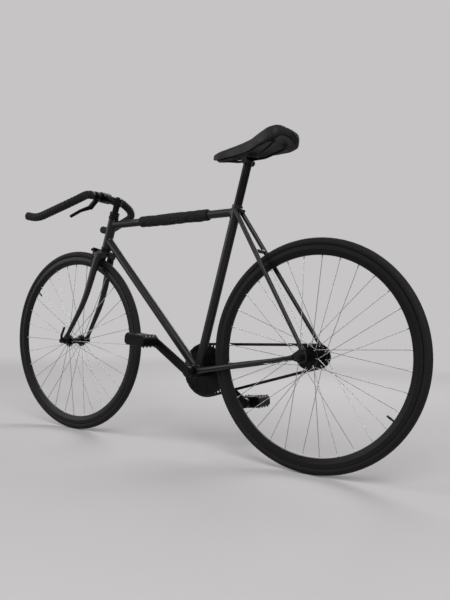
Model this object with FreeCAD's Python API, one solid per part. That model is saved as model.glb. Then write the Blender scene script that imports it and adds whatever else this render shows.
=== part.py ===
import FreeCAD, Part
import math
import os

# A fixed-gear road bicycle, in millimetres.
# X points forward, Y to the rider's left and Z up. The origin is on the ground, midway between the axles.

V = FreeCAD.Vector
LATERAL = V(0, 1, 0)
LEFT = 1
RIGHT = -1

# Clearances shared by every fit
SEAT_GAP = 0.02
RUNNING_GAP = 0.05
FREE_GAP = 0.6

# Stance and frame angles
WHEELBASE = 991.0
BOTTOM_BRACKET_DROP = 70.0
SEAT_ANGLE = 75.2
HEAD_ANGLE = 72.0
FORK_RAKE = 45.0
CROWN_ABOVE_TYRE = 28.0

# Drive train
CHAIN_PITCH = 12.7
CHAIN_LINKS = 94
RING_TEETH = 42
COG_TEETH = 16
CHAIN_LINE = 43.5
ROLLER_RADIUS = 3.95
CHAIN_INNER_WIDTH = 3.3
CHAIN_PLATE = 1.05
CHAIN_PLATE_HEIGHT = 8.4
CHAIN_PIN_RADIUS = 1.8
SPROCKET_THICKNESS = 2.9
TOOTH_HEIGHT = 3.3
TOOTH_TIP = 1.6
CRANK_ANGLE = 33.5
CRANK_LENGTH = 172.5
CRANK_BOSS_RADIUS = 17.0
CRANK_BOSS_INNER = 40.0
CRANK_BOSS_WIDTH = 18.0
CRANK_ROOT_WIDTH = 33.0
CRANK_EYE_RADIUS = 16.5
CRANK_EYE_INNER = 53.0
CRANK_EYE_WIDTH = 31.0
CRANK_THICKNESS = 12.5
SPINDLE_RADIUS = 8.5
CRANK_BOLT_RADIUS = 11.0
CRANK_BOLT_HEIGHT = 2.5
SPIDER_ARMS = 5
BOLT_CIRCLE_RADIUS = 55.0
SPIDER_THICKNESS = 5.0
SPIDER_TIP_RADIUS = 9.0
RING_BOLT_RADIUS = 4.0
RING_BOLT_HEAD = 1.2

# Pedals
PEDAL_SPINDLE_RADIUS = 5.0
PEDAL_INNER = 80.0
PEDAL_WIDTH = 68.0
PEDAL_LENGTH = 84.0
PEDAL_HEIGHT = 36.0
PEDAL_ROUNDING = 12.0
PEDAL_EDGE_ROUNDING = 3.0
PEDAL_END_WALL = 5.0
PEDAL_TILT = 6.0
PEDAL_BARREL_RADIUS = 12.0
PEDAL_BAR = 13.0
PEDAL_WINDOW_ROUNDING = 4.0
GRIP_PIN_RADIUS = 2.0
GRIP_PIN_RISE = 2.0
GRIP_PINS = 4

# Frame tubes
MAIN_TUBE_WALL = 1.2
HEAD_TUBE_RADIUS = 15.9
HEAD_TUBE_LENGTH = 104.0
TOP_TUBE_RADIUS = 12.7
DOWN_TUBE_RADIUS = 14.3
SEAT_TUBE_RADIUS = 14.3
SEAT_TUBE_LENGTH = 533.0
TOP_TUBE_BELOW_SEAT = 20.0
TOP_TUBE_BELOW_HEAD = 21.0
DOWN_TUBE_ABOVE_HEAD = 30.0
SHELL_RADIUS = 20.0
SHELL_BORE = 16.8
SHELL_WIDTH = 68.0
CUP_FLANGE = 4.0
CUP_DEPTH = 12.0
LUG_RADIUS = 16.6
LUG_HEIGHT = 34.0
BINDER_BACK = 18.5
BINDER_DROP = 13.0
BINDER_EAR_RADIUS = 6.0
BINDER_EAR_WIDTH = 20.0
BINDER_SLOT = 2.0
BINDER_BOLT_RADIUS = 3.0
BINDER_HEAD_RADIUS = 5.0
BINDER_HEAD_HEIGHT = 3.5

# Rear triangle
REAR_SPACING = 120.0
DROPOUT_THICKNESS = 5.0
DROPOUT_RADIUS = 15.5
DROPOUT_CHAIN_REACH = 44.0
DROPOUT_SEAT_REACH = 40.0
DROPOUT_NECK_RADIUS = 8.0
DROPOUT_TONGUE_RADIUS = 6.0
CHAINSTAY_SHELL_RADIUS = 10.5
CHAINSTAY_BEND_RADIUS = 9.0
CHAINSTAY_TIP_RADIUS = 7.0
CHAINSTAY_SHELL_Y = 23.0
CHAINSTAY_BEND_Y = 27.5
CHAINSTAY_BEND_BACK = 112.0
CHAINSTAY_LAP = 18.0
SEATSTAY_TOP_RADIUS = 7.2
SEATSTAY_TIP_RADIUS = 5.6
SEATSTAY_DROP = 14.0
SEATSTAY_TOP_BACK = 5.0
SEATSTAY_TOP_Y = 16.5
SEATSTAY_AXLE_BACK = 15.0
CHAINSTAY_AXLE_RISE = 4.0
SEATSTAY_LAP = 16.0
STAY_WALL = 1.0
BRIDGE_RADIUS = 6.0
BRIDGE_ABOVE_TYRE = 20.0
BRIDGE_HOLE_RADIUS = 3.1
CABLE_STOP_FORWARD = 78.0
CABLE_STOP_LENGTH = 11.0
CABLE_STOP_RADIUS = 3.6
CHAIN_PEG_UP = 80.0
CHAIN_PEG_RADIUS = 2.5
CHAIN_PEG_LENGTH = 7.0

# Top-tube pad
PAD_BACK = 104.0
PAD_FRONT = 142.7
PAD_RADIUS = 19.6
PAD_END_RADIUS = 18.2
PAD_LINER_GAP = 0.1

# Fork and headset
STEERER_RADIUS = 12.7
STEERER_BORE = 11.15
LOWER_STACK = 12.0
UPPER_STACK = 25.0
CUP_LIP_HEIGHT = 7.0
CUP_LIP_RADIUS = 18.0
CUP_INSERT = 9.0
CUP_WALL = 1.8
RACE_RADIUS = 16.5
LOCKNUT_RADIUS = 15.6
LOCKNUT_HEIGHT = 7.5
CROWN_HEIGHT = 24.0
CROWN_DEPTH = 34.0
CROWN_BORE_DROP = 10.5
CROWN_ARCH = 9.0
BLADE_SPREAD = 32.0
BLADE_DEPTH = 14.5
BLADE_THICKNESS = 10.5
BLADE_TIP_RADIUS = 6.8
BLADE_BEND_HEIGHT = 172.0
BLADE_BEND_RADIUS = 440.0
BLADE_WALL = 1.2
FORK_TIP_REACH = 34.0
FORK_TIP_LAP = 14.0
FORK_TIP_RADIUS = 11.5
FORK_SPACING = 100.0
FORK_TIP_THICKNESS = 5.0

# Stem and handlebar
STEM_RISE = 36.0
STEM_REACH = 68.0
STEM_RADIUS = 13.5
STEM_ELBOW_RADIUS = 15.0
QUILL_INSERT = 75.0
QUILL_BORE = 4.05
STEM_BOLT_HEAD = 6.5
STEM_BOLT_HEIGHT = 5.0
CLAMP_RADIUS = 18.5
CLAMP_WIDTH = 38.0
BAR_SLEEVE_RADIUS = 13.0
BAR_SLEEVE_LENGTH = 52.0
BAR_RADIUS = 11.9
BAR_WALL = 1.8
BAR_FLAT = 80.0
BAR_CORNER_Y = 150.0
BAR_CORNER_BACK = 8.0
BAR_CORNER_DROP = 38.0
BAR_HORN_Y = 172.0
BAR_HORN_FORWARD = 154.0
BAR_HORN_DROP = 86.0
BAR_TIP_Y = 178.0
BAR_TIP_FORWARD = 196.0
BAR_TIP_DROP = 77.0
BAR_FLAT_BEND = 70.0
BAR_CORNER_BEND = 52.0
BAR_HORN_BEND = 110.0
TAPE_THICKNESS = 2.2
TAPE_START = 58.0
PLUG_HEIGHT = 3.0
PLUG_INSERT = 18.0

# Brake lever and caliper
LEVER_BAND_Y = 39.0
LEVER_BAND_WIDTH = 13.0
LEVER_BAND_RADIUS = 16.0
LEVER_PIVOT = V(15.0, 53.0, -40.0)
LEVER_PIVOT_RADIUS = 7.0
LEVER_PIN_RADIUS = 2.5
LEVER_FORK_GAP = 7.0
LEVER_CHEEK = 3.0
LEVER_ELBOW = V(28.0, 86.0, -57.0)
LEVER_TIP = V(46.0, 113.0, -78.0)
LEVER_WIDTH = 9.6
LEVER_TIP_RADIUS = 4.6
CALIPER_BOLT_RADIUS = 3.0
CALIPER_ARM_THICKNESS = 7.0
CALIPER_EYE_RADIUS = 9.0
CALIPER_SHOULDER_Y = 32.0
CALIPER_SHOULDER_RISE = 3.0
CALIPER_ARM_RADIUS = 6.0
CALIPER_CABLE_Y = 36.0
CALIPER_CABLE_RISE = 9.0
CALIPER_NUT_RADIUS = 5.5
CALIPER_NUT_HEIGHT = 5.0
PAD_GAP = 2.2
SHOE_LENGTH = 48.0
SHOE_HEIGHT = 9.0
SHOE_THICKNESS = 7.0
BRAKE_TRACK_DROP = 5.5

# Wheels
TYRE_ABOVE_RIM = 21.0
TYRE_WIDTH = 23.6
TYRE_WALL = 2.4
BEAD_WIDTH = 2.8
RIM_OUTER_RADIUS = 313.0
RIM_DEPTH = 27.4
RIM_WIDTH = 19.2
RIM_WALL = 1.8
RIM_CHANNEL_DEPTH = 2.6
RIM_TRACK_HEIGHT = 12.0
RIM_NOSE_WIDTH = 7.0
VALVE_RADIUS = 3.0
VALVE_LENGTH = 22.0
VALVE_CAP_RADIUS = 3.6
VALVE_CAP_LENGTH = 12.0
FRONT_VALVE_TURN = 39.6
REAR_VALVE_TURN = 212.3
SPOKE_RADIUS = 1.0
SPOKE_COUNT = 32
SPOKE_CROSSES = 3
FLANGE_THICKNESS = 3.2
BARREL_RADIUS = 11.0
FRONT_FLANGE_RADIUS = 21.6
FRONT_FLANGE_Y = 29.0
FRONT_AXLE_RADIUS = 4.5
REAR_FLANGE_RADIUS = 33.0
REAR_FLANGE_Y = 31.0
REAR_AXLE_RADIUS = 5.0
CONE_RADIUS = 8.0
CONE_LENGTH = 22.0
REAR_CONE_LENGTH = 40.0
AXLE_NUT_RADIUS = 9.5
AXLE_NUT_HEIGHT = 9.0
AXLE_STUB = 6.0
COG_BODY_RADIUS = 22.0
LOCKRING_RADIUS = 19.5
LOCKRING_HEIGHT = 4.5

# Quick release
SKEWER_RADIUS = 2.5
SKEWER_NUT_RADIUS = 8.0
SKEWER_NUT_HEIGHT = 12.0
LEVER_HOUSING_RADIUS = 8.5
LEVER_HOUSING_HEIGHT = 15.0
RELEASE_ARM_LENGTH = 54.0
RELEASE_ARM_BOW = 9.0
RELEASE_ARM_TURN = 114.0
RELEASE_ARM_RADIUS = 5.0
RELEASE_ARM_TIP = 3.4
RELEASE_ARM_THICKNESS = 5.0

# Seat post and saddle
POST_RADIUS = 13.0
POST_WALL = 2.2
POST_INSERT = 110.0
POST_SHOWN = 143.5
POST_HEAD_RADIUS = 10.0
POST_HEAD_WIDTH = 46.0
RAIL_RADIUS = 3.5
RAIL_Y = 18.0
RAIL_DROP = 3.0
RAIL_BEND = 30.0
RAIL_SEAT = 1.5
CLAMP_PLATE_LENGTH = 30.0
CLAMP_PLATE_HEIGHT = 5.0
SHELL_THICKNESS = 3.0
SHELL_COVER_GAP = 0.5
SADDLE_HOLLOW = 0.4
SADDLE_HOLLOW_MAX = 15.0
# Saddle stations, nose to tail: forward of the clamp, half width, lower edge, shoulder and crown above it
SADDLE_STATIONS = [
    (127.0, 9.0, 7.0, 14.0, 20.0),
    (117.0, 17.0, 3.0, 17.0, 26.5),
    (76.0, 20.5, 2.5, 21.5, 33.5),
    (26.0, 27.0, 4.0, 29.5, 40.0),
    (-26.0, 41.0, 7.5, 37.0, 47.5),
    (-72.0, 63.0, 14.0, 46.5, 58.0),
    (-108.0, 72.0, 20.5, 54.0, 66.5),
    (-130.0, 66.0, 28.5, 54.5, 65.5),
    (-143.0, 45.0, 37.0, 51.0, 58.0),
]


def links_for(distance):
    """Chain links in the loop for one centre distance: two straight runs and two wrapped arcs."""
    slope = math.asin((RING_RADIUS - COG_RADIUS) / distance)
    wrap = RING_TEETH * (math.pi + 2 * slope) + COG_TEETH * (math.pi - 2 * slope)
    return 2 * distance * math.cos(slope) / CHAIN_PITCH + wrap / (2 * math.pi)


def centre_distance():
    """Distance between the two sprockets that closes the loop of CHAIN_LINKS, by bisection."""
    low = RING_RADIUS + COG_RADIUS
    high = CHAIN_LINKS * CHAIN_PITCH
    for _ in range(60):
        middle = (low + high) / 2
        if links_for(middle) < CHAIN_LINKS:
            low = middle
        else:
            high = middle
    return low


def along(angle):
    """Unit vector in the XZ plane, measured in degrees from forward towards up."""
    return V(math.cos(math.radians(angle)), 0, math.sin(math.radians(angle)))


RING_RADIUS = CHAIN_PITCH / (2 * math.sin(math.pi / RING_TEETH))
COG_RADIUS = CHAIN_PITCH / (2 * math.sin(math.pi / COG_TEETH))
CENTRE_DISTANCE = centre_distance()
TYRE_OUTER_RADIUS = RIM_OUTER_RADIUS + TYRE_ABOVE_RIM
RIM_INNER_RADIUS = RIM_OUTER_RADIUS - RIM_DEPTH
AXLE_TO_CROWN = TYRE_OUTER_RADIUS + CROWN_ABOVE_TYRE
SADDLE_HEIGHT = SEAT_TUBE_LENGTH + POST_SHOWN

REAR_AXLE = V(-WHEELBASE / 2, 0, TYRE_OUTER_RADIUS)
FRONT_AXLE = V(WHEELBASE / 2, 0, TYRE_OUTER_RADIUS)
STAY_REACH = math.sqrt(CENTRE_DISTANCE**2 - BOTTOM_BRACKET_DROP**2)
BRACKET = REAR_AXLE + V(STAY_REACH, 0, -BOTTOM_BRACKET_DROP)
SEAT_UP = along(180 - SEAT_ANGLE)
STEER_UP = along(180 - HEAD_ANGLE)
STEER_FORWARD = along(90 - HEAD_ANGLE)
STEER_FOOT = FRONT_AXLE - STEER_FORWARD * FORK_RAKE
HEAD_BOTTOM = AXLE_TO_CROWN + LOWER_STACK
HEAD_TOP = HEAD_BOTTOM + HEAD_TUBE_LENGTH
STEM_HEIGHT = HEAD_TOP + UPPER_STACK + STEM_RISE
LEFT_CRANK = along(CRANK_ANGLE)
RIM_CHANNEL_FLOOR = RIM_OUTER_RADIUS - RIM_CHANNEL_DEPTH
BRAKE_BOLT_HEIGHT = AXLE_TO_CROWN - CROWN_BORE_DROP
CALIPER_BACK = CROWN_DEPTH / 2 + 1.0
TYRE_CENTRE = TYRE_OUTER_RADIUS - TYRE_WIDTH / 2


def steer_point(height, forward=0.0, y=0.0):
    """Point of the steered assembly: height along the steering axis above the axle foot, then forward."""
    return STEER_FOOT + STEER_UP * height + STEER_FORWARD * forward + LATERAL * y


def seat_point(height, back=0.0, y=0.0):
    """Point along the seat tube above the bottom bracket, then square behind it."""
    behind = along(270 - SEAT_ANGLE)
    return BRACKET + SEAT_UP * height + behind * back + LATERAL * y


def rod(start, end, radius):
    """Solid cylinder between two points."""
    run = end - start
    return Part.makeCylinder(radius, run.Length, start, run)


def pipe(start, end, outer, inner):
    """Straight hollow tube between two points."""
    return rod(start, end, outer).cut(rod(start, end, inner))


def cross_rod(centre, radius, y_from, y_to):
    """Cylinder along Y between two lateral places, about a centre in the XZ plane."""
    base = V(centre.x, min(y_from, y_to), centre.z)
    return Part.makeCylinder(radius, abs(y_to - y_from), base, LATERAL)


def fuse_all(shapes):
    """One solid from several that overlap or touch."""
    return shapes[0].multiFuse(shapes[1:]).removeSplitter()


def prism(points, thickness):
    """Flat polygon pushed out by a thickness vector."""
    wire = Part.makePolygon(points + [points[0]])
    return Part.Face(wire).extrude(thickness)


def link_chain(eyes, thickness):
    """Flat bar through (centre, radius) eyes: discs joined by common tangents, pushed out by thickness."""
    normal = V(thickness)
    normal.normalize()
    pieces = [Part.makeCylinder(radius, thickness.Length, centre, normal) for centre, radius in eyes]
    for (first, first_radius), (second, second_radius) in zip(eyes, eyes[1:]):
        run = second - first
        ahead = V(run).normalize()
        side = normal.cross(ahead)
        lean = (first_radius - second_radius) / run.Length
        spread = math.sqrt(1 - lean * lean)
        corners = []
        for centre, radius, sign in (
            (first, first_radius, 1),
            (second, second_radius, 1),
            (second, second_radius, -1),
            (first, first_radius, -1),
        ):
            corners.append(centre + ahead * (radius * lean) + side * (sign * radius * spread))
        pieces.append(prism(corners, thickness))
    return fuse_all(pieces)


def link_plate(first, first_radius, second, second_radius, thickness):
    """Plate bounded by two circles and their common tangents, pushed out by a thickness vector."""
    return link_chain([(first, first_radius), (second, second_radius)], thickness)


def rounded_path(points, radii):
    """Wire of straight runs joined by tangent arcs, one radius for each inner point."""
    edges = []
    start = points[0]
    for index, radius in enumerate(radii):
        corner = points[index + 1]
        back = (points[index] - corner).normalize()
        ahead = (points[index + 2] - corner).normalize()
        half = math.acos(max(-1.0, min(1.0, back.dot(ahead)))) / 2
        reach = radius / math.tan(half)
        enter = corner + back * reach
        leave = corner + ahead * reach
        inward = (back + ahead).normalize()
        middle = corner + inward * (radius / math.sin(half) - radius)
        edges.append(Part.LineSegment(start, enter).toShape())
        edges.append(Part.Arc(enter, middle, leave).toShape())
        start = leave
    edges.append(Part.LineSegment(start, points[-1]).toShape())
    return Part.Wire(edges)


def bent_rod(points, radii, radius):
    """Round bar bent along a rounded path: straight rods joined by elbows turned about each bend."""
    pieces = []
    start = points[0]
    for index, bend in enumerate(radii):
        corner = points[index + 1]
        back = (points[index] - corner).normalize()
        ahead = (points[index + 2] - corner).normalize()
        half = math.acos(back.dot(ahead)) / 2
        reach = bend / math.tan(half)
        enter = corner + back * reach
        centre = corner + (back + ahead).normalize() * (bend / math.sin(half))
        disc = Part.Face(Part.Wire([Part.makeCircle(radius, enter, -back)]))
        pieces.append(rod(start, enter, radius))
        pieces.append(disc.revolve(centre, ahead.cross(back), 180 - 2 * math.degrees(half)))
        start = corner + ahead * reach
    pieces.append(rod(start, points[-1], radius))
    return fuse_all(pieces)


def loft_round(stations, ruled=False):
    """Solid through circles given as (centre, direction, radius), smooth or with straight sides."""
    rings = [Part.Wire([Part.makeCircle(radius, centre, way)]) for centre, way, radius in stations]
    return Part.makeLoft(rings, True, ruled)


def about_axle(profile_points, axle):
    """Ring turned about a wheel axle from (lateral, radius) corners."""
    points = [V(axle.x, y, axle.z + radius) for y, radius in profile_points]
    wire = Part.makePolygon(points + [points[0]])
    return Part.Face(wire).revolve(axle, LATERAL, 360)


def mirrored(shape):
    """The same piece on the other side of the bicycle."""
    return shape.mirror(V(0, 0, 0), LATERAL)


def sided(shape, side):
    """A piece modelled on the left, placed on the stated side."""
    if side == LEFT:
        return shape
    return mirrored(shape)


def save(name, shape):
    """Write one node."""
    if shape.ShapeType == "Compound" and len(shape.Solids) == 1:
        shape = shape.Solids[0]
    shape.exportStep("parts/" + name + ".step")


# Main frame

def head_tube_envelope():
    return rod(steer_point(HEAD_BOTTOM), steer_point(HEAD_TOP), HEAD_TUBE_RADIUS)


def seat_tube_envelope():
    return rod(BRACKET, seat_point(SEAT_TUBE_LENGTH), SEAT_TUBE_RADIUS)


def shell_envelope():
    return cross_rod(BRACKET, SHELL_RADIUS, -SHELL_WIDTH / 2, SHELL_WIDTH / 2)


def lug_envelope():
    return rod(seat_point(SEAT_TUBE_LENGTH - LUG_HEIGHT), seat_point(SEAT_TUBE_LENGTH), LUG_RADIUS)


def head_tube():
    bore = HEAD_TUBE_RADIUS - MAIN_TUBE_WALL
    return pipe(steer_point(HEAD_BOTTOM), steer_point(HEAD_TOP), HEAD_TUBE_RADIUS, bore)


def top_tube_ends():
    on_seat = seat_point(SEAT_TUBE_LENGTH - TOP_TUBE_BELOW_SEAT)
    return on_seat, steer_point(HEAD_TOP - TOP_TUBE_BELOW_HEAD)


def top_tube():
    start, end = top_tube_ends()
    tube = pipe(start, end, TOP_TUBE_RADIUS, TOP_TUBE_RADIUS - MAIN_TUBE_WALL)
    return tube.cut([seat_tube_envelope(), lug_envelope(), head_tube_envelope()])


def down_tube():
    start = BRACKET
    end = steer_point(HEAD_BOTTOM + DOWN_TUBE_ABOVE_HEAD)
    tube = pipe(start, end, DOWN_TUBE_RADIUS, DOWN_TUBE_RADIUS - MAIN_TUBE_WALL)
    return tube.cut([shell_envelope(), seat_tube_envelope(), head_tube_envelope()])


def binder_point(y=0.0):
    return seat_point(SEAT_TUBE_LENGTH - BINDER_DROP, BINDER_BACK, y)


def binder_body():
    """Two ears in one block, from the seat axis back to the binder bolt."""
    start = seat_point(SEAT_TUBE_LENGTH - BINDER_DROP, 0, -BINDER_EAR_WIDTH / 2)
    return link_plate(
        start, BINDER_EAR_RADIUS, binder_point(-BINDER_EAR_WIDTH / 2), BINDER_EAR_RADIUS,
        V(0, BINDER_EAR_WIDTH, 0),
    )


def seat_tube():
    """Seat tube with its lug, split at the back between two binder ears."""
    body = fuse_all([seat_tube_envelope(), lug_envelope(), binder_body()])
    bore = rod(BRACKET, seat_point(SEAT_TUBE_LENGTH + 1), POST_RADIUS + RUNNING_GAP)
    slot_back = BINDER_BACK + BINDER_EAR_RADIUS + 1
    slot = prism(
        [
            seat_point(SEAT_TUBE_LENGTH - LUG_HEIGHT, 0, -BINDER_SLOT / 2),
            seat_point(SEAT_TUBE_LENGTH + 1, 0, -BINDER_SLOT / 2),
            seat_point(SEAT_TUBE_LENGTH + 1, slot_back, -BINDER_SLOT / 2),
            seat_point(SEAT_TUBE_LENGTH - LUG_HEIGHT, slot_back, -BINDER_SLOT / 2),
        ],
        V(0, BINDER_SLOT, 0),
    )
    reach = BINDER_EAR_WIDTH / 2 + 1
    hole = cross_rod(binder_point(), BINDER_BOLT_RADIUS + SEAT_GAP, -reach, reach)
    return body.cut([bore, slot, hole, shell_envelope()])


def seat_binder_bolt():
    half = BINDER_EAR_WIDTH / 2
    end = half + BINDER_HEAD_HEIGHT
    shank = cross_rod(binder_point(), BINDER_BOLT_RADIUS, -end, end)
    heads = [
        cross_rod(binder_point(), BINDER_HEAD_RADIUS, side * half, side * end)
        for side in (LEFT, RIGHT)
    ]
    return fuse_all([shank] + heads)


def bottom_bracket_shell():
    return shell_envelope().cut(cross_rod(BRACKET, SHELL_BORE, -SHELL_WIDTH, SHELL_WIDTH))


def bottom_bracket_cup(side):
    face = SHELL_WIDTH / 2
    flange = cross_rod(BRACKET, SHELL_RADIUS, face + SEAT_GAP, face + CUP_FLANGE)
    thread = cross_rod(BRACKET, SHELL_BORE - SEAT_GAP, face - CUP_DEPTH, face + SEAT_GAP)
    bore = cross_rod(BRACKET, SPINDLE_RADIUS + RUNNING_GAP, 0, SHELL_WIDTH)
    return sided(fuse_all([flange, thread]).cut(bore), side)


# Rear triangle

CHAINSTAY_AIM = REAR_AXLE + V(0, 0, CHAINSTAY_AXLE_RISE)
CHAIN_WAY = (BRACKET - CHAINSTAY_AIM).normalize()
SEATSTAY_TOP_HEIGHT = SEAT_TUBE_LENGTH - SEATSTAY_DROP
SEATSTAY_AIM = REAR_AXLE - V(SEATSTAY_AXLE_BACK, 0, 0)
SEATSTAY_WAY = (seat_point(SEATSTAY_TOP_HEIGHT, SEATSTAY_TOP_BACK) - SEATSTAY_AIM).normalize()
DROPOUT_Y = (REAR_SPACING + DROPOUT_THICKNESS) / 2


def dropout_plate(side):
    """Dropout plate on one side: an axle disc with a tongue into each stay."""
    push = V(0, DROPOUT_THICKNESS, 0)
    inner_face = LATERAL * (REAR_SPACING / 2)
    centre = REAR_AXLE + inner_face
    arms = []
    necks = []
    for aim, way, reach in (
        (CHAINSTAY_AIM, CHAIN_WAY, DROPOUT_CHAIN_REACH),
        (SEATSTAY_AIM, SEATSTAY_WAY, DROPOUT_SEAT_REACH),
    ):
        neck = aim + inner_face + way * (reach * 0.6)
        tongue = aim + inner_face + way * reach
        arms.append(link_chain(
            [(centre, DROPOUT_RADIUS), (neck, DROPOUT_NECK_RADIUS), (tongue, DROPOUT_TONGUE_RADIUS)], push
        ))
        necks.append(neck)
    web = link_plate(necks[0], DROPOUT_NECK_RADIUS, necks[1], DROPOUT_NECK_RADIUS, push)
    return sided(fuse_all(arms + [web]), side)


def dropout(side):
    """Dropout with a slot for the axle that opens forward, under the chain stay."""
    down = along(-55.0)
    slot_push = V(0, DROPOUT_THICKNESS + 2, 0)
    start = REAR_AXLE + LATERAL * (REAR_SPACING / 2 - 1)
    width = REAR_AXLE_RADIUS + SEAT_GAP
    slot = link_plate(start, width, start + down * (DROPOUT_RADIUS * 2), width, slot_push)
    return dropout_plate(side).cut(sided(slot, side))


def chainstay_path():
    """Corner points of one left chain stay, from the bracket to the dropout tongue."""
    bend = BRACKET - CHAIN_WAY * CHAINSTAY_BEND_BACK
    tip = CHAINSTAY_AIM + CHAIN_WAY * (DROPOUT_CHAIN_REACH - CHAINSTAY_LAP)
    return (
        BRACKET + LATERAL * CHAINSTAY_SHELL_Y,
        bend + LATERAL * CHAINSTAY_BEND_Y,
        tip + LATERAL * DROPOUT_Y,
    )


def chainstay_solid(shrink):
    """Tapered stay, bent outward behind the chain ring, smaller all round by shrink."""
    shell_end, bend, tip = chainstay_path()
    first = (bend - shell_end).normalize()
    last = (tip - bend).normalize()
    mean = (first + last).normalize()
    return loft_round([
        (shell_end, first, CHAINSTAY_SHELL_RADIUS - shrink),
        (shell_end + (bend - shell_end) * 0.6, first, CHAINSTAY_BEND_RADIUS - shrink),
        (bend + mean * 4, mean, CHAINSTAY_BEND_RADIUS - shrink),
        (bend + (tip - bend) * 0.25, last, CHAINSTAY_BEND_RADIUS - shrink),
        (tip, last, CHAINSTAY_TIP_RADIUS - shrink),
    ])


def chainstay(side):
    tube = chainstay_solid(0.0).cut(chainstay_solid(STAY_WALL))
    if side == RIGHT:
        tube = tube.fuse(cable_stop())
    face = SHELL_WIDTH / 2
    cup_room = cross_rod(BRACKET, SHELL_RADIUS + FREE_GAP, face, face + CUP_FLANGE + FREE_GAP)
    tube = tube.cut([shell_envelope(), cup_room, seat_tube_envelope(), dropout_plate(LEFT)])
    return sided(largest(tube), side)


def cable_stop():
    """Small brazed-on stop under the chain stay."""
    _, bend, tip = chainstay_path()
    way = (tip - bend).normalize()
    centre = tip - way * CABLE_STOP_FORWARD
    hang = along(-90) * (CHAINSTAY_BEND_RADIUS + CABLE_STOP_RADIUS - 3.0)
    start = centre + hang - way * (CABLE_STOP_LENGTH / 2)
    stop = rod(start, start + way * CABLE_STOP_LENGTH, CABLE_STOP_RADIUS)
    return stop.cut(chainstay_solid(STAY_WALL))


def largest(shape):
    """The biggest solid of a cut, without its slivers."""
    return max(shape.Solids, key=lambda solid: solid.Volume)


def seatstay_ends():
    top = seat_point(SEATSTAY_TOP_HEIGHT, SEATSTAY_TOP_BACK, SEATSTAY_TOP_Y)
    tip = SEATSTAY_AIM + SEATSTAY_WAY * (DROPOUT_SEAT_REACH - SEATSTAY_LAP) + LATERAL * DROPOUT_Y
    return top, tip


def seatstay_solid():
    """Tapered stay with a domed cap at the top."""
    top, tip = seatstay_ends()
    way = (tip - top).normalize()
    return loft_round(
        [
            (top - way * SEATSTAY_TOP_RADIUS, way, SEATSTAY_TOP_RADIUS * 0.5),
            (top - way * (SEATSTAY_TOP_RADIUS * 0.7), way, SEATSTAY_TOP_RADIUS * 0.85),
            (top - way * (SEATSTAY_TOP_RADIUS * 0.2), way, SEATSTAY_TOP_RADIUS),
            (top + (tip - top) * 0.3, way, SEATSTAY_TOP_RADIUS),
            (tip, way, SEATSTAY_TIP_RADIUS),
        ],
        ruled=True,
    )


def chain_peg():
    """Peg on the inner side of the drive-side seat stay."""
    top, tip = seatstay_ends()
    way = (tip - top).normalize()
    root = tip - way * CHAIN_PEG_UP
    inward = LATERAL * -1
    return rod(root, root + inward * (SEATSTAY_TIP_RADIUS + CHAIN_PEG_LENGTH), CHAIN_PEG_RADIUS)


def seatstay(side):
    tube = seatstay_solid()
    if side == RIGHT:
        tube = tube.fuse(chain_peg())
    top, tip = seatstay_ends()
    way = (tip - top).normalize()
    hollow = rod(top + way * 12, tip, SEATSTAY_TIP_RADIUS - STAY_WALL)
    bolt_reach = BINDER_EAR_WIDTH / 2 + BINDER_HEAD_HEIGHT + FREE_GAP
    bolt_room = cross_rod(binder_point(), BINDER_HEAD_RADIUS + FREE_GAP, -bolt_reach, bolt_reach)
    seat_cluster = [seat_tube_envelope(), lug_envelope(), binder_body(), bolt_room]
    tube = tube.cut([hollow, dropout_plate(LEFT)] + seat_cluster)
    return sided(largest(tube), side)


def brake_bridge():
    """Tube between the seat stays above the tyre, drilled for a brake bolt."""
    top, tip = seatstay_ends()
    reach = TYRE_OUTER_RADIUS + BRIDGE_ABOVE_TYRE
    share = (reach - (tip - REAR_AXLE).dot(SEATSTAY_WAY)) / (top - tip).dot(SEATSTAY_WAY)
    centre = tip + (top - tip) * share
    span = centre.y
    tube = cross_rod(centre, BRIDGE_RADIUS, -span, span)
    square = SEATSTAY_WAY.cross(LATERAL)
    middle = V(centre.x, 0, centre.z)
    bored = rod(middle - square * 30, middle + square * 30, BRIDGE_HOLE_RADIUS)
    stays = [seatstay_solid(), mirrored(seatstay_solid())]
    return largest(tube.cut([bored] + stays))


# Top-tube pad

def top_tube_pad():
    """Padded sleeve: crowned along its length, with ends drawn in, closed round the tube."""
    start, end = top_tube_ends()
    way = (end - start).normalize()
    base = start + way * PAD_BACK
    up = LATERAL.cross(way) * -1
    inner = TOP_TUBE_RADIUS + PAD_LINER_GAP
    finish = end - way * PAD_FRONT
    middle = (base + finish) * 0.5
    outline = Part.Wire([
        Part.LineSegment(base + up * inner, base + up * PAD_END_RADIUS).toShape(),
        Part.Arc(
            base + up * PAD_END_RADIUS, middle + up * PAD_RADIUS, finish + up * PAD_END_RADIUS
        ).toShape(),
        Part.LineSegment(finish + up * PAD_END_RADIUS, finish + up * inner).toShape(),
        Part.LineSegment(finish + up * inner, base + up * inner).toShape(),
    ])
    return Part.Face(outline).revolve(base, way, 360)


# Fork and headset

def headset_cup(end_height, outward):
    """Pressed cup at one end of the head tube: a lip outside and a skirt inside."""
    bore = HEAD_TUBE_RADIUS - MAIN_TUBE_WALL - SEAT_GAP
    lip_end = end_height + outward * CUP_LIP_HEIGHT
    lip = rod(steer_point(end_height + outward * SEAT_GAP), steer_point(lip_end), CUP_LIP_RADIUS)
    skirt = rod(steer_point(end_height - outward * CUP_INSERT), steer_point(lip_end), bore)
    hole = rod(
        steer_point(end_height - outward * (CUP_INSERT + 1)), steer_point(lip_end + outward),
        bore - CUP_WALL,
    )
    return fuse_all([lip, skirt]).cut(hole)


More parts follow.
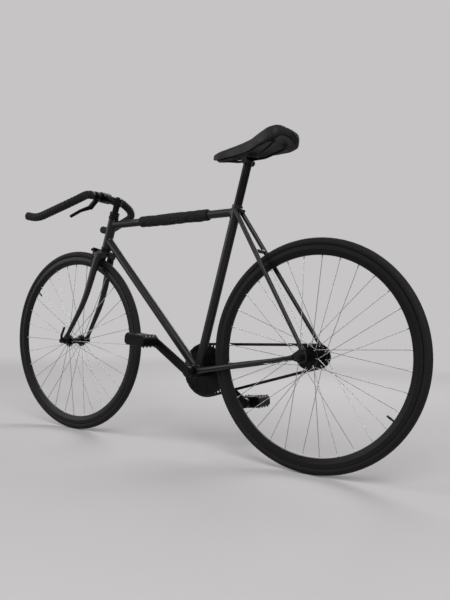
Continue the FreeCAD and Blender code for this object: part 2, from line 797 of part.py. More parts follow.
def crown_race():
    low = AXLE_TO_CROWN + SEAT_GAP
    high = HEAD_BOTTOM - CUP_LIP_HEIGHT - FREE_GAP
    return pipe(steer_point(low), steer_point(high), RACE_RADIUS, STEERER_RADIUS + SEAT_GAP)


def top_race():
    low = HEAD_TOP + CUP_LIP_HEIGHT + FREE_GAP
    high = HEAD_TOP + UPPER_STACK - LOCKNUT_HEIGHT
    return pipe(steer_point(low), steer_point(high), RACE_RADIUS, STEERER_RADIUS + SEAT_GAP)


def hexagon(centre, way, across, height, start_dir):
    """Hexagonal prism standing on a point, across its corners."""
    side = way.cross(start_dir)
    corners = []
    for index in range(6):
        turn = math.radians(60 * index)
        corners.append(centre + start_dir * (across * math.cos(turn)) + side * (across * math.sin(turn)))
    return prism(corners, way * height)


def headset_locknut():
    low = HEAD_TOP + UPPER_STACK - LOCKNUT_HEIGHT + SEAT_GAP
    nut = hexagon(
        steer_point(low), STEER_UP, LOCKNUT_RADIUS * 2 / math.sqrt(3), LOCKNUT_HEIGHT - SEAT_GAP,
        STEER_FORWARD,
    )
    round_off = rod(steer_point(low), steer_point(low + LOCKNUT_HEIGHT), LOCKNUT_RADIUS * 1.08)
    hole = rod(steer_point(low - 1), steer_point(low + LOCKNUT_HEIGHT + 1), STEERER_RADIUS + SEAT_GAP)
    return nut.common(round_off).cut(hole)


def steerer():
    top = HEAD_TOP + UPPER_STACK - 2.0
    return pipe(steer_point(AXLE_TO_CROWN), steer_point(top), STEERER_RADIUS, STEERER_BORE)


def fork_crown():
    """Arched crown with a bore for the brake bolt."""
    low = AXLE_TO_CROWN - CROWN_HEIGHT
    outer = BLADE_SPREAD + BLADE_THICKNESS + 1.5
    inner = BLADE_SPREAD - BLADE_THICKNESS - 1.5
    shoulder = AXLE_TO_CROWN - CROWN_HEIGHT * 0.42
    front = CROWN_DEPTH / 2

    def at(y, height):
        return steer_point(height, -front, y)

    edges = [
        Part.LineSegment(at(-inner, low), at(-outer, low)).toShape(),
        Part.LineSegment(at(-outer, low), at(-outer, shoulder)).toShape(),
        Part.LineSegment(at(-outer, shoulder), at(-RACE_RADIUS, AXLE_TO_CROWN)).toShape(),
        Part.LineSegment(at(-RACE_RADIUS, AXLE_TO_CROWN), at(RACE_RADIUS, AXLE_TO_CROWN)).toShape(),
        Part.LineSegment(at(RACE_RADIUS, AXLE_TO_CROWN), at(outer, shoulder)).toShape(),
        Part.LineSegment(at(outer, shoulder), at(outer, low)).toShape(),
        Part.LineSegment(at(outer, low), at(inner, low)).toShape(),
        Part.Arc(at(inner, low), at(0, low + CROWN_ARCH), at(-inner, low)).toShape(),
    ]
    body = Part.Face(Part.Wire(edges)).extrude(STEER_FORWARD * CROWN_DEPTH)
    upright = [
        edge for edge in body.Edges
        if abs(abs(edge.tangentAt(edge.FirstParameter).dot(STEER_UP)) - 1) < 1e-6
    ]
    body = body.makeFillet(CROWN_DEPTH * 0.3, upright)
    bore = rod(
        steer_point(BRAKE_BOLT_HEIGHT, -CROWN_DEPTH), steer_point(BRAKE_BOLT_HEIGHT, CROWN_DEPTH),
        CALIPER_BOLT_RADIUS + SEAT_GAP,
    )
    return body.cut(bore)


def blade_line():
    """Corner points of the left blade: crown, bend and axle end."""
    tip_y = (FORK_SPACING + FORK_TIP_THICKNESS) / 2
    top = AXLE_TO_CROWN - CROWN_HEIGHT * 0.7
    share = (top - BLADE_BEND_HEIGHT) / top
    bend_y = BLADE_SPREAD + (tip_y - BLADE_SPREAD) * share
    lower = steer_point(BLADE_BEND_HEIGHT, 0, bend_y)
    axle = FRONT_AXLE + LATERAL * tip_y
    return steer_point(top, 0, BLADE_SPREAD), lower, axle


def fork_tip_way():
    _, bend, axle = blade_line()
    flat = V(bend.x - axle.x, 0, bend.z - axle.z)
    return flat.normalize()


def blade_solid(shrink):
    """Tapered oval blade, straight from the crown and then raked forward."""
    top, bend, axle = blade_line()
    tip = axle + (bend - axle).normalize() * (FORK_TIP_REACH - FORK_TIP_LAP)
    path = rounded_path([top, bend, tip], [BLADE_BEND_RADIUS])
    sections = []
    count = 9
    for index in range(count):
        share = index / (count - 1)
        edge, parameter = path_place(path, share * path.Length)
        centre = edge.valueAt(parameter)
        way = edge.tangentAt(parameter)
        fore = LATERAL.cross(way).normalize()
        out = way.cross(fore)
        taper = max(0.0, (share - 0.15) / 0.85)
        depth = BLADE_DEPTH + (BLADE_TIP_RADIUS - BLADE_DEPTH) * taper - shrink
        width = BLADE_THICKNESS + (BLADE_TIP_RADIUS * 0.97 - BLADE_THICKNESS) * taper - shrink
        oval = Part.Ellipse(centre + fore * depth, centre + out * width, centre)
        sections.append(Part.Wire([oval.toShape()]))
    return Part.makeLoft(sections, True, False)


def path_place(path, distance):
    """The edge of a wire that holds a distance along it, and the parameter there."""
    for edge in path.OrderedEdges:
        if distance <= edge.Length + 1e-6:
            return edge, edge.getParameterByLength(min(distance, edge.Length))
        distance -= edge.Length
    last = path.OrderedEdges[-1]
    return last, last.LastParameter


def fork_tip_plate():
    push = V(0, FORK_TIP_THICKNESS, 0)
    centre = FRONT_AXLE + LATERAL * (FORK_SPACING / 2)
    way = fork_tip_way()
    return link_plate(centre, FORK_TIP_RADIUS, centre + way * FORK_TIP_REACH, BLADE_TIP_RADIUS * 0.75, push)


def axle_slot():
    """Slot for the front axle, open at the bottom of the fork end."""
    width = FRONT_AXLE_RADIUS + SEAT_GAP
    start = FRONT_AXLE + LATERAL * (FORK_SPACING / 2 - 1)
    return link_plate(
        start, width, start - fork_tip_way() * (2 * FORK_TIP_RADIUS), width, V(0, FORK_TIP_THICKNESS + 2, 0)
    )


def fork_blade(side):
    """Blade brazed to its slotted fork end."""
    tube = blade_solid(0.0).cut(blade_solid(BLADE_WALL)).cut(fork_crown())
    slot = axle_slot()
    return sided(fuse_all([largest(tube), fork_tip_plate()]).cut(slot), side)


# Stem and handlebar

def bar_point(forward, y, rise):
    """Point from the middle of the bar clamp: level forward, lateral and up."""
    centre = steer_point(STEM_HEIGHT, STEM_REACH)
    return centre + V(forward, y, rise)


def stem():
    """Quill, extension and bar clamp in one piece, split under the bar."""
    centre = bar_point(0, 0, 0)
    elbow = steer_point(STEM_HEIGHT)
    quill_low = HEAD_TOP + UPPER_STACK - QUILL_INSERT
    quill = rod(steer_point(quill_low), steer_point(STEM_HEIGHT), STEERER_BORE - RUNNING_GAP)
    knuckle = rod(
        steer_point(STEM_HEIGHT - STEM_RADIUS), steer_point(STEM_HEIGHT + STEM_RADIUS), STEM_ELBOW_RADIUS
    )
    extension = rod(elbow, centre, STEM_RADIUS)
    clamp = cross_rod(centre, CLAMP_RADIUS, -CLAMP_WIDTH / 2, CLAMP_WIDTH / 2)
    body = fuse_all([quill, knuckle, extension, clamp])
    bar_hole = cross_rod(centre, BAR_SLEEVE_RADIUS + SEAT_GAP, -CLAMP_WIDTH, CLAMP_WIDTH)
    bolt_hole = rod(steer_point(quill_low - 1), steer_point(STEM_HEIGHT + STEM_RADIUS + 1), QUILL_BORE)
    return body.cut([bar_hole, bolt_hole])


def stem_bolt():
    """Expander bolt with a hexagon head on the stem and a slanted wedge under the quill."""
    quill_low = HEAD_TOP + UPPER_STACK - QUILL_INSERT
    head_low = STEM_HEIGHT + STEM_RADIUS + SEAT_GAP
    shank = rod(steer_point(quill_low - 20), steer_point(head_low + 1), QUILL_BORE - RUNNING_GAP)
    head = hexagon(steer_point(head_low), STEER_UP, STEM_BOLT_HEAD, STEM_BOLT_HEIGHT, STEER_FORWARD)
    wedge = rod(steer_point(quill_low - 24), steer_point(quill_low - SEAT_GAP), STEERER_BORE - RUNNING_GAP)
    return fuse_all([shank, head, wedge])


def bar_corners(first_y, side=LEFT):
    """Corner points of one half of the bar, from a lateral start to the horn end."""
    return [
        bar_point(0, side * first_y, 0),
        bar_point(0, side * BAR_FLAT, 0),
        bar_point(-BAR_CORNER_BACK, side * BAR_CORNER_Y, -BAR_CORNER_DROP),
        bar_point(BAR_HORN_FORWARD, side * BAR_HORN_Y, -BAR_HORN_DROP),
        bar_point(BAR_TIP_FORWARD, side * BAR_TIP_Y, -BAR_TIP_DROP),
    ]


BAR_BENDS = [BAR_FLAT_BEND, BAR_CORNER_BEND, BAR_HORN_BEND]


def handlebar():
    """Pursuit bar: flat middle with a thicker sleeve, dropping to two horns that point forward."""
    halves = []
    for radius in (BAR_RADIUS, BAR_RADIUS - BAR_WALL):
        half = bent_rod(bar_corners(0.0), BAR_BENDS, radius)
        halves.append(fuse_all([half, mirrored(half)]))
    sleeve = cross_rod(bar_point(0, 0, 0), BAR_SLEEVE_RADIUS, -BAR_SLEEVE_LENGTH / 2, BAR_SLEEVE_LENGTH / 2)
    return fuse_all([halves[0], sleeve]).cut(halves[1])


def bar_tape(side):
    """Wound tape modelled as one sleeve along the horn."""
    outer = bent_rod(bar_corners(TAPE_START, side), BAR_BENDS, BAR_RADIUS + TAPE_THICKNESS)
    inner = bent_rod(bar_corners(TAPE_START, side), BAR_BENDS, BAR_RADIUS + SEAT_GAP)
    return outer.cut(inner)


def bar_plug(side):
    corners = bar_corners(0.0)
    end = corners[-1]
    way = (corners[-1] - corners[-2]).normalize()
    cap = rod(end + way * SEAT_GAP, end + way * PLUG_HEIGHT, BAR_RADIUS + TAPE_THICKNESS)
    cap = cap.makeFillet(PLUG_HEIGHT * 0.6, [edge_near(cap, end + way * PLUG_HEIGHT)])
    stopper = rod(end - way * PLUG_INSERT, end + way, BAR_RADIUS - BAR_WALL - SEAT_GAP)
    return sided(fuse_all([cap, stopper]), side)


def edge_near(shape, point):
    """The edge whose middle of mass lies closest to a point."""
    return min(shape.Edges, key=lambda edge: (edge.CenterOfMass - point).Length)


# Brake lever and caliper

def lever_axis():
    """Axis of the lever pivot, square to the blade and to the way towards the bar."""
    blade = (LEVER_TIP - LEVER_PIVOT).normalize()
    to_bar = V(-LEVER_PIVOT.x, 0, -LEVER_PIVOT.z).normalize()
    return blade.cross(to_bar).normalize()


def bar_offset(offset):
    return bar_point(offset.x, offset.y, offset.z)


def in_lever_plane(point):
    """A point laid into the plane in which the middle of the lever turns."""
    axis = lever_axis()
    return point - axis * (point - bar_offset(LEVER_PIVOT)).dot(axis)


def lever_bracket():
    """Band round the bar with a forked boss that carries the lever pin."""
    pivot = bar_offset(LEVER_PIVOT)
    axis = lever_axis()
    low = LEVER_BAND_Y - LEVER_BAND_WIDTH / 2
    high = LEVER_BAND_Y + LEVER_BAND_WIDTH / 2
    bar_centre = bar_point(0, 0, 0)
    band = cross_rod(bar_centre, LEVER_BAND_RADIUS, low, high)
    width = LEVER_FORK_GAP + 2 * LEVER_CHEEK
    boss = rod(pivot - axis * (width / 2), pivot + axis * (width / 2), LEVER_PIVOT_RADIUS)
    root = in_lever_plane(bar_point(LEVER_PIVOT.x * 0.35, LEVER_BAND_Y, LEVER_PIVOT.z * 0.35))
    arm = link_plate(root - axis * (width / 2), LEVER_PIVOT_RADIUS, pivot - axis * (width / 2),
                     LEVER_PIVOT_RADIUS, axis * width)
    body = fuse_all([band, boss, arm])
    room_radius = LEVER_PIVOT_RADIUS + FREE_GAP * 2
    half_gap = axis * (LEVER_FORK_GAP / 2)
    elbow = in_lever_plane(bar_offset(LEVER_ELBOW))
    room = rod(pivot - half_gap, pivot + half_gap, room_radius)
    gap = link_plate(pivot - half_gap, room_radius, elbow - half_gap, room_radius, axis * LEVER_FORK_GAP)
    bore = cross_rod(bar_centre, BAR_RADIUS + SEAT_GAP, 0, LEVER_BAND_Y * 2)
    pin = rod(pivot - axis * (width / 2), pivot + axis * (width / 2), LEVER_PIN_RADIUS)
    return fuse_all([body.cut([room, gap, bore]), pin])


def brake_lever():
    """Short lever blade with a rounded tip, bored for its pin."""
    axis = lever_axis()
    pivot = bar_offset(LEVER_PIVOT)
    elbow = in_lever_plane(bar_offset(LEVER_ELBOW))
    tip = bar_offset(LEVER_TIP)
    thick = LEVER_FORK_GAP - 2 * FREE_GAP
    back = axis * (-thick / 2)
    push = axis * thick
    blade = link_chain(
        [(pivot + back, LEVER_PIVOT_RADIUS), (elbow + back, LEVER_WIDTH / 2), (tip + back, LEVER_TIP_RADIUS)],
        push,
    )
    bore = rod(pivot - axis * LEVER_FORK_GAP, pivot + axis * LEVER_FORK_GAP, LEVER_PIN_RADIUS + RUNNING_GAP)
    return blade.cut(bore)


def caliper_front(layer):
    """Forward place of the back face of one caliper arm, stacked in layers on the bolt."""
    return CALIPER_BACK + layer * (CALIPER_ARM_THICKNESS + FREE_GAP)


def shoe_centre_height():
    """Height at which the brake track crosses the caliper, in the steered frame."""
    radius = RIM_OUTER_RADIUS - BRAKE_TRACK_DROP
    forward = caliper_front(1) - FORK_RAKE
    return math.sqrt(radius * radius - forward * forward)


SHOE_Y = RIM_WIDTH / 2 + PAD_GAP + SHOE_THICKNESS / 2


def caliper_arm(side):
    """One side-pull arm: an eye on the bolt, a shoulder round the tyre, a shoe end and a cable end."""
    layer = 0 if side == LEFT else 1
    front = caliper_front(layer)
    push = STEER_FORWARD * CALIPER_ARM_THICKNESS

    def at(height, y):
        return steer_point(height, front, y)

    eye = at(BRAKE_BOLT_HEIGHT, 0)
    shoulder = at(BRAKE_BOLT_HEIGHT + CALIPER_SHOULDER_RISE, side * CALIPER_SHOULDER_Y)
    hold_y = SHOE_Y + SHOE_THICKNESS / 2 + CALIPER_ARM_RADIUS
    foot = at(shoe_centre_height(), side * hold_y)
    cable = at(BRAKE_BOLT_HEIGHT + CALIPER_CABLE_RISE * (1 if side == LEFT else 0.4), CALIPER_CABLE_Y)
    pieces = [
        link_chain(
            [(eye, CALIPER_EYE_RADIUS), (shoulder, CALIPER_ARM_RADIUS), (foot, CALIPER_ARM_RADIUS)], push
        ),
        link_plate(eye, CALIPER_EYE_RADIUS, cable, CALIPER_ARM_RADIUS * 0.75, push),
    ]
    bore = rod(
        steer_point(BRAKE_BOLT_HEIGHT, front - 1),
        steer_point(BRAKE_BOLT_HEIGHT, front + CALIPER_ARM_THICKNESS + 1),
        CALIPER_BOLT_RADIUS + RUNNING_GAP,
    )
    return fuse_all(pieces).cut([bore, brake_shoe(side)])


def brake_shoe(side):
    """Rubber block along the rim, with a post into the foot of its arm."""
    layer = 0 if side == LEFT else 1
    middle = caliper_front(layer) + CALIPER_ARM_THICKNESS / 2
    height = shoe_centre_height()
    inner = RIM_WIDTH / 2 + PAD_GAP
    corner = steer_point(height - SHOE_HEIGHT / 2, middle - SHOE_LENGTH / 2, side * inner)
    block = prism(
        [
            corner,
            corner + STEER_UP * SHOE_HEIGHT,
            corner + STEER_UP * SHOE_HEIGHT + LATERAL * (side * SHOE_THICKNESS),
            corner + LATERAL * (side * SHOE_THICKNESS),
        ],
        STEER_FORWARD * SHOE_LENGTH,
    )
    return block.makeFillet(1.2, block.Edges)


def caliper_bolt():
    """Centre bolt through the crown, with a nut in front of the arms and one behind the crown."""
    back = -CROWN_DEPTH / 2
    front = caliper_front(2)
    shank = rod(
        steer_point(BRAKE_BOLT_HEIGHT, back - CALIPER_NUT_HEIGHT),
        steer_point(BRAKE_BOLT_HEIGHT, front + CALIPER_NUT_HEIGHT), CALIPER_BOLT_RADIUS,
    )
    front_nut = hexagon(
        steer_point(BRAKE_BOLT_HEIGHT, front), STEER_FORWARD, CALIPER_NUT_RADIUS, CALIPER_NUT_HEIGHT,
        STEER_UP,
    )
    back_nut = hexagon(
        steer_point(BRAKE_BOLT_HEIGHT, back - CALIPER_NUT_HEIGHT), STEER_FORWARD, CALIPER_NUT_RADIUS,
        CALIPER_NUT_HEIGHT - SEAT_GAP, STEER_UP,
    )
    return fuse_all([shank, front_nut, back_nut])


# Wheels

def tyre(axle):
    """Hollow tyre: a round casing whose two beads stand in the rim channel."""
    outer = TYRE_WIDTH / 2
    inner = outer - TYRE_WALL
    bead_out = RIM_WIDTH / 2 - RIM_WALL - SEAT_GAP
    bead_in = bead_out - BEAD_WIDTH
    foot = RIM_CHANNEL_FLOOR + SEAT_GAP
    low_out = TYRE_CENTRE - math.sqrt(outer**2 - bead_out**2)
    low_in = TYRE_CENTRE - math.sqrt(inner**2 - bead_in**2)

    def at(y, radius):
        return V(axle.x, y, axle.z + radius)

    edges = [
        Part.LineSegment(at(bead_out, foot), at(bead_out, low_out)).toShape(),
        Part.Arc(at(bead_out, low_out), at(outer, TYRE_CENTRE), at(0, TYRE_CENTRE + outer)).toShape(),
        Part.Arc(at(0, TYRE_CENTRE + outer), at(-outer, TYRE_CENTRE), at(-bead_out, low_out)).toShape(),
        Part.LineSegment(at(-bead_out, low_out), at(-bead_out, foot)).toShape(),
        Part.LineSegment(at(-bead_out, foot), at(-bead_in, foot)).toShape(),
        Part.LineSegment(at(-bead_in, foot), at(-bead_in, low_in)).toShape(),
        Part.Arc(at(-bead_in, low_in), at(-inner, TYRE_CENTRE), at(0, TYRE_CENTRE + inner)).toShape(),
        Part.Arc(at(0, TYRE_CENTRE + inner), at(inner, TYRE_CENTRE), at(bead_in, low_in)).toShape(),
        Part.LineSegment(at(bead_in, low_in), at(bead_in, foot)).toShape(),
        Part.LineSegment(at(bead_in, foot), at(bead_out, foot)).toShape(),
    ]
    return Part.Face(Part.Wire(edges)).revolve(axle, LATERAL, 360)


def rim(axle, valve_turn):
    """Deep V-section rim: a tyre channel over a hollow nose, with a hole for the valve."""
    half = RIM_WIDTH / 2
    nose = RIM_NOSE_WIDTH / 2
    track = RIM_OUTER_RADIUS - RIM_TRACK_HEIGHT
    channel = half - RIM_WALL
    outer = about_axle(
        [
            (-half, RIM_OUTER_RADIUS), (-channel, RIM_OUTER_RADIUS), (-channel, RIM_CHANNEL_FLOOR),
            (channel, RIM_CHANNEL_FLOOR), (channel, RIM_OUTER_RADIUS), (half, RIM_OUTER_RADIUS),
            (half, track), (nose, RIM_INNER_RADIUS), (-nose, RIM_INNER_RADIUS), (-half, track),
        ],
        axle,
    )
    ceiling = RIM_CHANNEL_FLOOR - RIM_WALL
    hollow = about_axle(
        [
            (-channel, ceiling), (channel, ceiling), (channel, track),
            (nose - RIM_WALL, RIM_INNER_RADIUS + RIM_WALL), (RIM_WALL - nose, RIM_INNER_RADIUS + RIM_WALL),
            (-channel, track),
        ],
        axle,
    )
    way = along(valve_turn)
    hole = rod(axle + way * (RIM_INNER_RADIUS - 5), axle + way * RIM_OUTER_RADIUS, VALVE_RADIUS + SEAT_GAP)
    return outer.cut([hollow, hole])


def valve(axle, valve_turn):
    """Valve stem through the rim, with its cap towards the hub."""
    way = along(valve_turn)
    stem_end = RIM_INNER_RADIUS - VALVE_LENGTH
    cap_start = stem_end + VALVE_CAP_LENGTH
    stem_rod = rod(axle + way * RIM_CHANNEL_FLOOR, axle + way * stem_end, VALVE_RADIUS)
    cap = Part.makeCone(
        VALVE_CAP_RADIUS, VALVE_CAP_RADIUS * 0.7, VALVE_CAP_LENGTH, axle + way * cap_start, way * -1
    )
    return fuse_all([stem_rod, cap])


def hub_shell(axle, flange_radius, flange_y):
    """Hub barrel with two spoke flanges, bored to run on the axle cones."""
    half = FLANGE_THICKNESS / 2
    barrel = cross_rod(axle, BARREL_RADIUS, -flange_y - half - 6, flange_y + half + 6)
    flanges = [
        cross_rod(axle, flange_radius, side * flange_y - half, side * flange_y + half)
        for side in (LEFT, RIGHT)
    ]
    bore = cross_rod(axle, CONE_RADIUS + RUNNING_GAP, -2 * flange_y, 2 * flange_y)
    return fuse_all([barrel] + flanges).cut(bore)


def spokes(axle, flange_radius, flange_y, crosses, valve_turn):
    """Wire spokes from both flanges to the rim nose; crossed spokes leave on the two faces of a flange."""
    per_side = SPOKE_COUNT // 2
    step = 360.0 / per_side
    wires = []
    first = valve_turn + step / 4
    for side, phase in ((LEFT, first), (RIGHT, first + step / 2)):
        for index in range(per_side):
            lead = 1 if index % 2 else -1
            turn = phase + step * index
            root_turn = turn + lead * crosses * step * 0.5
            lift = SPOKE_RADIUS + RUNNING_GAP if crosses else RUNNING_GAP
            shift = lead * (FLANGE_THICKNESS / 2 - SPOKE_RADIUS / 2) if crosses else 0.0
            root = axle + along(root_turn) * (flange_radius + lift) + LATERAL * (side * flange_y + shift)
            end = axle + along(turn) * (RIM_INNER_RADIUS - RUNNING_GAP)
            end += LATERAL * (side * RIM_NOSE_WIDTH / 6)
            wires.append(rod(root, end, SPOKE_RADIUS))
    return Part.makeCompound(wires)


def front_axle():
    """Hollow axle with its two cones and locknuts between the fork ends."""
    half = FORK_SPACING / 2
    end = half + FORK_TIP_THICKNESS - 1
    body = cross_rod(FRONT_AXLE, FRONT_AXLE_RADIUS, -end, end)
    cones = [
        cross_rod(FRONT_AXLE, CONE_RADIUS, side * (half - CONE_LENGTH), side * (half - SEAT_GAP))
        for side in (LEFT, RIGHT)
    ]
    bore = cross_rod(FRONT_AXLE, SKEWER_RADIUS + RUNNING_GAP, -half * 2, half * 2)
    return fuse_all([body] + cones).cut(bore)


def rear_axle():
    """Solid axle with its cones and locknuts between the dropouts."""
    half = REAR_SPACING / 2
    end = half + DROPOUT_THICKNESS + AXLE_NUT_HEIGHT + AXLE_STUB
    body = cross_rod(REAR_AXLE, REAR_AXLE_RADIUS, -end, end)
    cones = [
        cross_rod(REAR_AXLE, CONE_RADIUS, side * (half - REAR_CONE_LENGTH), side * (half - SEAT_GAP))
        for side in (LEFT, RIGHT)
    ]
    return fuse_all([body] + cones)


def axle_nut(side):
    """Flanged track nut outside the dropout."""
    face = REAR_SPACING / 2 + DROPOUT_THICKNESS + SEAT_GAP
    washer = cross_rod(REAR_AXLE, AXLE_NUT_RADIUS + 1.5, face, face + 2.5)
    nut = hexagon(
        REAR_AXLE + LATERAL * face, LATERAL, AXLE_NUT_RADIUS, AXLE_NUT_HEIGHT, along(90)
    )
    hole = cross_rod(REAR_AXLE, REAR_AXLE_RADIUS + SEAT_GAP, 0, face * 2)
    return sided(fuse_all([washer, nut]).cut(hole), side)


def skewer():
    """Quick-release skewer with its nut on the right and the lever housing on the left."""
    face = FORK_SPACING / 2 + FORK_TIP_THICKNESS + SEAT_GAP
    body = cross_rod(FRONT_AXLE, SKEWER_RADIUS, -face - SKEWER_NUT_HEIGHT + 2, face + 4)
    nut = cross_rod(FRONT_AXLE, SKEWER_NUT_RADIUS, -face, -face - SKEWER_NUT_HEIGHT)
    nut = nut.makeFillet(2.5, [edge_near(nut, V(FRONT_AXLE.x, -face - SKEWER_NUT_HEIGHT, FRONT_AXLE.z))])
    housing = cross_rod(FRONT_AXLE, LEVER_HOUSING_RADIUS, face, face + LEVER_HOUSING_HEIGHT)
    way = release_way()
    across = release_axis()
    pivot = release_pivot()
    room = RELEASE_ARM_RADIUS + FREE_GAP
    gap = prism(
        [
            pivot - across * (RELEASE_ARM_THICKNESS / 2 + FREE_GAP / 2) + way * 40 - LATERAL * room,
            pivot - across * (RELEASE_ARM_THICKNESS / 2 + FREE_GAP / 2) - way * 40 - LATERAL * room,
            pivot - across * (RELEASE_ARM_THICKNESS / 2 + FREE_GAP / 2) - way * 40 + LATERAL * 40,
            pivot - across * (RELEASE_ARM_THICKNESS / 2 + FREE_GAP / 2) + way * 40 + LATERAL * 40,
        ],
        across * (RELEASE_ARM_THICKNESS + FREE_GAP),
    )
    pin = rod(pivot - across * 6, pivot + across * 6, LEVER_PIN_RADIUS * 0.8)
    return fuse_all([fuse_all([body, nut, housing]).cut(gap), pin])


def release_way():
    """Way in which the closed quick-release arm points: up beside the fork."""
    return along(RELEASE_ARM_TURN)


def release_axis():
    return release_way().cross(LATERAL).normalize()


def release_pivot():
    face = FORK_SPACING / 2 + FORK_TIP_THICKNESS
    return FRONT_AXLE + LATERAL * (face + LEVER_HOUSING_HEIGHT - RELEASE_ARM_RADIUS)


def quick_release_lever():
    """Bowed arm that closes up along the fork, bored for its pin."""
    across = release_axis()
    back = across * (-RELEASE_ARM_THICKNESS / 2)
    push = across * RELEASE_ARM_THICKNESS
    pivot = release_pivot()
    knee = pivot + release_way() * (RELEASE_ARM_LENGTH * 0.42) + LATERAL * RELEASE_ARM_BOW
    tip = pivot + release_way() * RELEASE_ARM_LENGTH + LATERAL * (RELEASE_ARM_BOW * 0.8)
    arm = link_chain(
        [(pivot + back, RELEASE_ARM_RADIUS), (knee + back, RELEASE_ARM_TIP), (tip + back, RELEASE_ARM_TIP)],
        push,
    )
    bore = rod(pivot - across * 10, pivot + across * 10, LEVER_PIN_RADIUS * 0.8 + RUNNING_GAP)
    return arm.cut(bore)


# Drive train

def sprocket(centre, y, teeth, radius, first_turn):
    """Toothed disc whose gaps hold the rollers, the first gap at first_turn degrees."""
    pitch_half = 180.0 / teeth
    seat = ROLLER_RADIUS + 0.15
    seat_half = math.radians(75.0)
    base = V(centre.x, y - SPROCKET_THICKNESS / 2, centre.z)
    tip_radius = radius + TOOTH_HEIGHT
    tip_half = pitch_half - math.degrees(TOOTH_TIP / 2 / tip_radius)

    def polar(distance, turn):
        return base + along(turn) * distance

    edges = []
    for index in range(teeth):
        turn = first_turn + 2 * pitch_half * index
        hollow = polar(radius, turn)
        inward = along(turn) * (-seat * math.cos(seat_half))
        sideways = along(turn + 90) * (seat * math.sin(seat_half))
        enter = hollow + inward - sideways
        leave = hollow + inward + sideways
        edges.append(Part.LineSegment(polar(tip_radius, turn - tip_half), enter).toShape())
        edges.append(Part.Arc(enter, hollow + along(turn) * -seat, leave).toShape())
        edges.append(Part.LineSegment(leave, polar(tip_radius, turn + tip_half)).toShape())
        tip_start = polar(tip_radius, turn + tip_half)
        tip_end = polar(tip_radius, turn + 2 * pitch_half - tip_half)
        edges.append(Part.LineSegment(tip_start, tip_end).toShape())
    return Part.Face(Part.Wire(edges)).extrude(V(0, SPROCKET_THICKNESS, 0))


LINE_ANGLE = math.degrees(math.atan2(BRACKET.z - REAR_AXLE.z, BRACKET.x - REAR_AXLE.x))
WRAP_ANGLE = math.degrees(math.asin((RING_RADIUS - COG_RADIUS) / CENTRE_DISTANCE))
UPPER_TURN = LINE_ANGLE + 90 + WRAP_ANGLE
LOWER_TURN = LINE_ANGLE - 90 - WRAP_ANGLE
RUN_LINKS = CENTRE_DISTANCE * math.cos(math.radians(WRAP_ANGLE)) / CHAIN_PITCH


def chain_place(link):
    """Roller centre after a number of links, from the top of the ring forward and down round the loop."""
    ring_links = RING_TEETH * (180 + 2 * WRAP_ANGLE) / 360
    cog_links = COG_TEETH * (180 - 2 * WRAP_ANGLE) / 360
    if link < ring_links:
        return BRACKET + along(UPPER_TURN - link * 360 / RING_TEETH) * RING_RADIUS
    link -= ring_links
    run = CHAIN_PITCH * RUN_LINKS
    if link < RUN_LINKS:
        start = BRACKET + along(LOWER_TURN) * RING_RADIUS
        return start + (REAR_AXLE + along(LOWER_TURN) * COG_RADIUS - start) * (link * CHAIN_PITCH / run)
    link -= RUN_LINKS
    if link < cog_links:
        return REAR_AXLE + along(LOWER_TURN - link * 360 / COG_TEETH) * COG_RADIUS
    link -= cog_links
    start = REAR_AXLE + along(UPPER_TURN) * COG_RADIUS
    return start + (BRACKET + along(UPPER_TURN) * RING_RADIUS - start) * (link * CHAIN_PITCH / run)


def cog_phase():
    """Turn of the first roller that lies on the cog."""
    on_cog = RING_TEETH * (180 + 2 * WRAP_ANGLE) / 360 + RUN_LINKS
    first = math.ceil(on_cog)
    return LOWER_TURN - (first - on_cog) * 360 / COG_TEETH


def plate_outline(half_gap, thickness, length):
    """One link plate from the first pin at the origin to the next along X, standing off along Y."""
    half = CHAIN_PLATE_HEIGHT / 2
    return link_plate(V(0, half_gap, 0), half, V(length, half_gap, 0), half, V(0, thickness, 0))


def chain():
    """Roller chain: inner links with rollers, outer links with pins, one solid for each link."""
    inner_half = CHAIN_INNER_WIDTH / 2
    outer_half = inner_half + CHAIN_PLATE + 0.1
    links = []
    for index in range(CHAIN_LINKS):
        start = chain_place(index)
        end = chain_place((index + 1) % CHAIN_LINKS)
        span = (end - start).Length
        inner = index % 2 == 0
        gap = inner_half if inner else outer_half
        plates = [plate_outline(side_gap, CHAIN_PLATE, span) for side_gap in (gap, -gap - CHAIN_PLATE)]
        reach = inner_half + 0.01 if inner else outer_half + CHAIN_PLATE + 0.3
        pin = ROLLER_RADIUS if inner else CHAIN_PIN_RADIUS
        pins = [Part.makeCylinder(pin, 2 * reach, V(place, -reach, 0), LATERAL) for place in (0, span)]
        link = plates[0].multiFuse(plates[1:] + pins)
        if inner:
            bore = CHAIN_PIN_RADIUS + RUNNING_GAP
            link = link.cut([Part.makeCylinder(bore, 20, V(place, -10, 0), LATERAL) for place in (0, span)])
        way = end - start
        turn = math.degrees(math.atan2(way.z, way.x))
        link.rotate(V(0, 0, 0), LATERAL, -turn)
        link.translate(V(start.x, -CHAIN_LINE, start.z))
        links.append(link.Solids[0])
    return Part.makeCompound(links)


def chainring():
    """Solid ring on the spider, bored round the spindle boss and for its bolts."""
    disc = sprocket(BRACKET, -CHAIN_LINE, RING_TEETH, RING_RADIUS, UPPER_TURN)
    centre_hole = cross_rod(BRACKET, CRANK_BOSS_RADIUS + 1, -CHAIN_LINE - 5, -CHAIN_LINE + 5)
    bolts = [
        cross_rod(place, RING_BOLT_RADIUS + SEAT_GAP, -CHAIN_LINE - 5, -CHAIN_LINE + 5)
        for place in spider_places()
    ]
    return disc.cut([centre_hole] + bolts)


